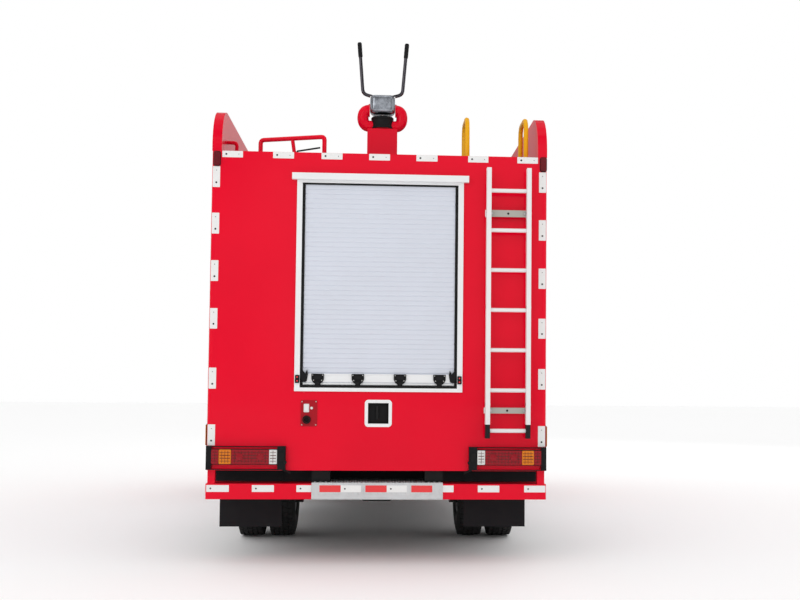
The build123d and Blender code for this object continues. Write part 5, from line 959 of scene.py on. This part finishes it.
# Blank number plate under the front bumper
blank, bracket = meshes(2)
plate(blank, (0, NOSE_Y - 0.03, 0.412), (0.5, 0.11), 0.01, 0.002, AHEAD)
plate(bracket, (0, NOSE_Y - 0.034, 0.414), (0.52, 0.13), 0.012, 0.004, AHEAD)
for x in (-0.18, 0.18):
    block(bracket, (x - 0.015, x + 0.015), (NOSE_Y - 0.038, NOSE_Y - 0.032), (0.412, 0.5))
piece("number_plate_blank", blank, white_paint)
piece("number_plate_bracket", bracket, chassis_paint)

# Side marker lamps ahead of the tail: distance, Z, length, height
SIDE_MARKERS = ((0.055, 0.945, 0.055, 0.15), (1.115, 0.74, 0.1, 0.036), (2.385, 0.74, 0.1, 0.036),
                (3.545, 0.74, 0.1, 0.036), (4.765, 0.74, 0.08, 0.036))
for side, hand in ((-1, "left"), (1, "right")):
    lamps, cups = meshes(2)
    outward = (side, 0, 0)
    for ahead, z, length, height in SIDE_MARKERS:
        y = TAIL_Y + ahead
        plate(cups, (side * BODY_HALF, y, z), (length + 0.012, height + 0.012), 0.008, 0.005, outward)
        plate(lamps, (side * (BODY_HALF + 0.005), y, z), (length, height), 0.006, 0.007, outward)
    piece(f"side_markers_{hand}", lamps, lens_amber)
    piece(f"side_marker_cups_{hand}", cups, black_plastic)


LIP_SECTION = ((0.0, -0.004), (0.0, 0.01), (0.006, 0.014), (0.024, 0.012), (0.03, 0.004), (0.03, -0.004))


def arch_lip(bm, side, face, axle_y, radius, start, end, steps=28):
    """A rubber lip round part of a wheel arch, angles in degrees from straight ahead."""
    rows = []
    for step in range(steps + 1):
        turn = math.radians(start + (end - start) * step / steps)
        rows.append([
            bm.verts.new((side * (face + out), axle_y + (radius + rise) * math.cos(turn),
                          TYRE_R + (radius + rise) * math.sin(turn)))
            for rise, out in LIP_SECTION
        ])
    skin(bm, rows, closed=False)


lips = bmesh.new()
for side in (-1, 1):
    arch_lip(lips, side, BODY_HALF, REAR_AXLE_Y, 0.59, 21.5, 158.5, 60)
    arch_lip(lips, side, 1.195, FRONT_AXLE_Y, 0.64, 2, 67.5)
    arch_lip(lips, side, 1.195, FRONT_AXLE_Y, 0.64, 112.5, 178)
piece("wheel_arch_lips", lips, seal_rubber)

# Fuel tank: straps and filler cap
tank_low, tank_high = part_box("fuel_tank")
straps, cap = meshes(2)
for share in (0.2, 0.8):
    y = tank_low.y + share * (tank_high.y - tank_low.y)
    block(straps, (tank_low.x - 0.003, tank_high.x + 0.003), (y - 0.022, y + 0.022),
          (tank_low.z - 0.003, tank_high.z + 0.003))
tank_out = 1 if tank_low.x + tank_high.x > 0 else -1
cap_x = (tank_high.x if tank_out > 0 else tank_low.x) - tank_out * 0.09
turned(cap, (cap_x, (tank_low.y + tank_high.y) / 2, tank_high.z), UP,
       ((0, 0.044), (0.014, 0.044), (0.016, 0.052), (0.034, 0.052), (0.038, 0.047), (0.038, 0)), 32)
piece("tank_straps", straps, chassis_paint, bevel=0.008)
piece("tank_cap", cap, black_plastic)

# Dashboard: binnacle, gauges, screen, vents and pedals
DASH_Y = CAB_Y - 0.33
binnacle, gauges, screens, vents, pedals = meshes(5)
HOOD = ((0, 1.795), (-0.03, 1.85), (0.02, 1.895), (0.15, 1.87), (0.2, 1.795))
prism(binnacle, [(DASH_Y + ahead, z) for ahead, z in HOOD], -0.93, -0.47, "X")
for x in (-0.785, -0.615):
    turned(gauges, (x, DASH_Y, 1.725), BACK,
           ((0, 0.056), (0.01, 0.056), (0.01, 0.05), (0.004, 0.048), (0.004, 0)), 32)
plate(screens, (-0.05, DASH_Y, 1.69), (0.27, 0.155), 0.01, 0.008)
plate(screens, (0.62, DASH_Y, 1.56), (0.4, 0.004), 0.001, 0.003)
for x in (-1.03, -0.33, 0.25, 1.00):
    plate(vents, (x, DASH_Y, 1.725), (0.13, 0.07), 0.01, 0.006)
    for row in range(4):
        z = 1.703 + row * 0.015
        block(vents, (x - 0.055, x + 0.055), (DASH_Y - 0.009, DASH_Y - 0.004), (z, z + 0.004))
PEDAL = ((0.3, 1.2), (0.32, 1.215), (0.27, 1.31), (0.25, 1.3))
for x, wide in ((-0.83, 0.06), (-0.7, 0.07), (-0.57, 0.05)):
    prism(pedals, [(CAB_Y - behind, z) for behind, z in PEDAL], x - wide / 2, x + wide / 2, "X")
    rod(pedals, (x, CAB_Y - 0.27, 1.27), (x, CAB_Y - 0.2, 1.42), 0.008, 10)
piece("dash_binnacle", binnacle, dash_plastic, "cab", bevel=0.012, segments=3)
piece("dash_gauges", gauges, screen_glass, "cab")
piece("dash_screens", screens, screen_glass, "cab")
piece("dash_vents", vents, black_plastic, "cab")
piece("pedals", pedals, grip_rubber, "cab", bevel=0.003)

# Seats: plastic bases and shells with stuffed cushions, backs and headrests
CUSHION_VOXEL = 0.014
CUSHION_SWELL = 0.018  # how far a point of the cloth may move
SIM_FRAMES = 16


def stuffed(name, outline, left, right):
    """A cushion: its block is remeshed, blown up by a short cloth run, and smoothed."""
    bm = bmesh.new()
    prism(bm, outline, left, right, "X")
    obj = piece(name, bm, seat_fabric, "cab")
    remesh = obj.modifiers.new("remesh", "REMESH")
    remesh.mode, remesh.voxel_size = "VOXEL", CUSHION_VOXEL
    smoothing = obj.modifiers.new("smooth", "SMOOTH")
    smoothing.factor, smoothing.iterations = 0.5, 12
    graph = bpy.context.evaluated_depsgraph_get()
    mesh = bpy.data.meshes.new_from_object(obj.evaluated_get(graph))
    obj.modifiers.clear()
    obj.data = mesh
    rest = [v.co.copy() for v in mesh.vertices]
    cloth = obj.modifiers.new("fill", "CLOTH")
    settings = cloth.settings
    settings.quality, settings.mass = 4, 0.3
    settings.tension_stiffness, settings.compression_stiffness, settings.bending_stiffness = 20, 20, 4
    settings.use_pressure, settings.uniform_pressure_force = True, 4
    settings.effector_weights.gravity = 0
    cloth.point_cache.frame_start, cloth.point_cache.frame_end = 1, SIM_FRAMES
    for frame_number in range(1, SIM_FRAMES + 1):
        bpy.context.scene.frame_set(frame_number)
    graph = bpy.context.evaluated_depsgraph_get()
    blown = bpy.data.meshes.new_from_object(obj.evaluated_get(graph))
    obj.modifiers.clear()
    obj.data = blown
    for vert, start in zip(blown.vertices, rest):
        moved = vert.co - start
        if moved.length > CUSHION_SWELL:
            vert.co = start + moved * (CUSHION_SWELL / moved.length)
    bpy.context.scene.frame_set(1)
    obj.data.shade_smooth()
    obj.modifiers.new("round", "SUBSURF").levels = 1


# seats: name, left X, right X, cushion's front edge behind the cab's face, headrests' X
SEATS = (
    ("driver", -0.99, -0.43, 0.82, (-0.71,)),
    ("mate", 0.43, 0.99, 0.82, (0.71,)),
    ("bench", -1.05, 1.05, 1.76, (-0.7, 0.0, 0.7)),
)
# outlines seen from the side: distance behind the cushion's front edge, Z
SEAT_BASE = ((0.06, 1.152), (0.05, 1.4), (0.012, 1.44), (0.465, 1.44), (0.47, 1.152))
SEAT_SHELL = ((0.572, 1.44), (0.548, 1.44), (0.622, 2.015), (0.64, 2.015))
CUSHION = ((0.445, 1.445), (0.43, 1.535), (0.03, 1.545), (0.004, 1.52), (0.006, 1.455), (0.03, 1.44))
SEAT_BACK = ((0.56, 1.52), (0.452, 1.56), (0.532, 2.035), (0.56, 2.045), (0.628, 2.035))
HEADREST = ((0.548, 2.075), (0.552, 2.195), (0.59, 2.205), (0.632, 2.195), (0.622, 2.075))
shells, posts = meshes(2)
for name, left, right, behind, heads in SEATS:
    f = CAB_Y - behind

    def behind_front(outline):
        return [(f - back, z) for back, z in outline]

    prism(shells, behind_front(SEAT_BASE), left + 0.03, right - 0.03, "X")
    prism(shells, behind_front(SEAT_SHELL), left + 0.02, right - 0.02, "X")
    stuffed(f"seat_cushion_{name}", behind_front(CUSHION), left + 0.006, right - 0.006)
    stuffed(f"seat_back_{name}", behind_front(SEAT_BACK), left + 0.01, right - 0.01)
    for index, x in enumerate(heads):
        stuffed(f"headrest_{name}_{index}", behind_front(HEADREST), x - 0.135, x + 0.135)
        for post in (-0.05, 0.05):
            rod(posts, (x + post, f - 0.585, 2.03), (x + post, f - 0.59, 2.09), 0.006, 12)
made = piece("seat_shells", shells, black_plastic, "cab", bevel=0.01, segments=3)
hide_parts("cab_seats")
piece("headrest_posts", posts, chrome, "cab")

# Side shutters: rear edge and front edge ahead of the rear wall, bottom Z, top Z
BAYS = ((0.12, 1.06, 0.77, 2.78), (1.18, 2.32, 1.25, 2.78), (2.44, 3.48, 0.77, 2.78), (3.6, 4.7, 0.77, 2.78))
SLAT = 0.036
for side, hand in ((-1, "left"), (1, "right")):
    slats, grips = meshes(2)
    for rear, front, bottom, top in BAYS:
        low_z, high_z = bottom + 0.08, top - 0.02
        count = int((high_z - low_z) / SLAT)
        line = []
        for z in (low_z + index * SLAT for index in range(count)):
            line += [(0.0005, z), (0.0035, z + 0.005), (0.0042, z + 0.018), (0.0035, z + SLAT - 0.005)]
        line += [(0.0005, low_z + count * SLAT), (0.0005, high_z)]
        y0, y1 = TAIL_Y + rear + 0.02, TAIL_Y + front - 0.02
        face = BODY_HALF - 0.012
        near = [slats.verts.new((side * (face + out), y0, z)) for out, z in line]
        far = [slats.verts.new((side * (face + out), y1, z)) for out, z in line]
        for i in range(len(line) - 1):
            slats.faces.new((near[i], far[i], far[i + 1], near[i + 1]))
        middle = (y0 + y1) / 2
        plate(grips, (side * (face + 0.008), middle, bottom + 0.05), (0.2, 0.036), 0.012, 0.01, (side, 0, 0))
    piece(f"side_slats_{hand}", slats, shutter_metal, angle=60)
    piece(f"side_grips_{hand}", grips, black_plastic)

# Camera at the photograph's viewpoint
WIDTH_PX, HEIGHT_PX = 800, 600
LENS_PX = 1178.4  # focal length in pixels
CENTRE_PX = (459.6, 316.0)  # where the lens axis meets the picture
yaw, pitch, roll = math.radians(4.08), math.radians(3.26), math.radians(0.47)
forward = Vector((math.sin(yaw) * math.cos(pitch), math.cos(yaw) * math.cos(pitch), math.sin(pitch)))
level_right = Vector((math.cos(yaw), -math.sin(yaw), 0))
level_up = level_right.cross(forward)
right = math.cos(roll) * level_right + math.sin(roll) * level_up
up = -math.sin(roll) * level_right + math.cos(roll) * level_up
camera = bpy.data.objects.new("camera", bpy.data.cameras.new("camera"))
bpy.context.collection.objects.link(camera)
turn = Matrix((right, up, -forward)).transposed()
camera.matrix_world = Matrix.Translation((-0.028, TAIL_Y - 8.752, 1.339)) @ turn.to_4x4()
camera.data.sensor_width = 36
camera.data.lens = LENS_PX / WIDTH_PX * 36
camera.data.shift_x = -(CENTRE_PX[0] - WIDTH_PX / 2) / WIDTH_PX
camera.data.shift_y = (CENTRE_PX[1] - HEIGHT_PX / 2) / WIDTH_PX
camera.data.clip_end = 200
bpy.context.scene.camera = camera

# Floor, sky and soft lights
floor_bm = bmesh.new()
bmesh.ops.create_grid(floor_bm, x_segments=1, y_segments=1, size=60)
floor_mesh = bpy.data.meshes.new("floor")
floor_bm.to_mesh(floor_mesh)
floor_bm.free()
floor = bpy.data.objects.new("floor", floor_mesh)
bpy.context.collection.objects.link(floor)
floor_mesh.materials.append(finish("floor_pale", (0.99, 0.99, 0.99), 0.9))
floor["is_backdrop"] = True

# a white sky; polished faces see a sky with soft, darker clouds in it
world = bpy.data.worlds.new("studio")
world.use_nodes = True
sky = world.node_tree
white = sky.nodes["Background"]
white.inputs["Color"].default_value = (1, 1, 1, 1)
white.inputs["Strength"].default_value = 1.0
directions = node(world, "ShaderNodeTexCoord").outputs["Generated"]
clouds = node(world, "ShaderNodeTexNoise", Vector=directions, Scale=3.5, Detail=2.0).outputs["Fac"]
shade = node(world, "ShaderNodeMapRange", Value=clouds, From_Min=0.36, From_Max=0.64, To_Min=0.15, To_Max=1.35)
cloudy = node(world, "ShaderNodeBackground", Strength=shade.outputs["Result"])
chosen = node(world, "ShaderNodeMixShader")
glossy = node(world, "ShaderNodeLightPath").outputs["Is Glossy Ray"]
for output, socket in zip((glossy, white.outputs["Background"], cloudy.outputs["Background"]), chosen.inputs):
    plug(sky, output, socket)
plug(sky, chosen.outputs["Shader"], sky.nodes["World Output"].inputs["Surface"])
bpy.context.scene.world = world
bpy.context.scene.view_settings.view_transform = "Standard"


def soft_light(name, place, aim, size, power):
    data = bpy.data.lights.new(name, "AREA")
    data.shape = "RECTANGLE"
    data.size, data.size_y = size
    data.energy = power
    obj = bpy.data.objects.new(name, data)
    bpy.context.collection.objects.link(obj)
    obj.location = place
    obj.rotation_euler = (Vector(aim) - Vector(place)).to_track_quat("-Z", "Y").to_euler()


soft_light("key", (-6, TAIL_Y - 9, 7), (0, TAIL_Y, 1.8), (6, 5), 130)
soft_light("front_fill", (6, NOSE_Y + 8, 7), (0, NOSE_Y, 1.5), (6, 5), 130)

low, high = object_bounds()
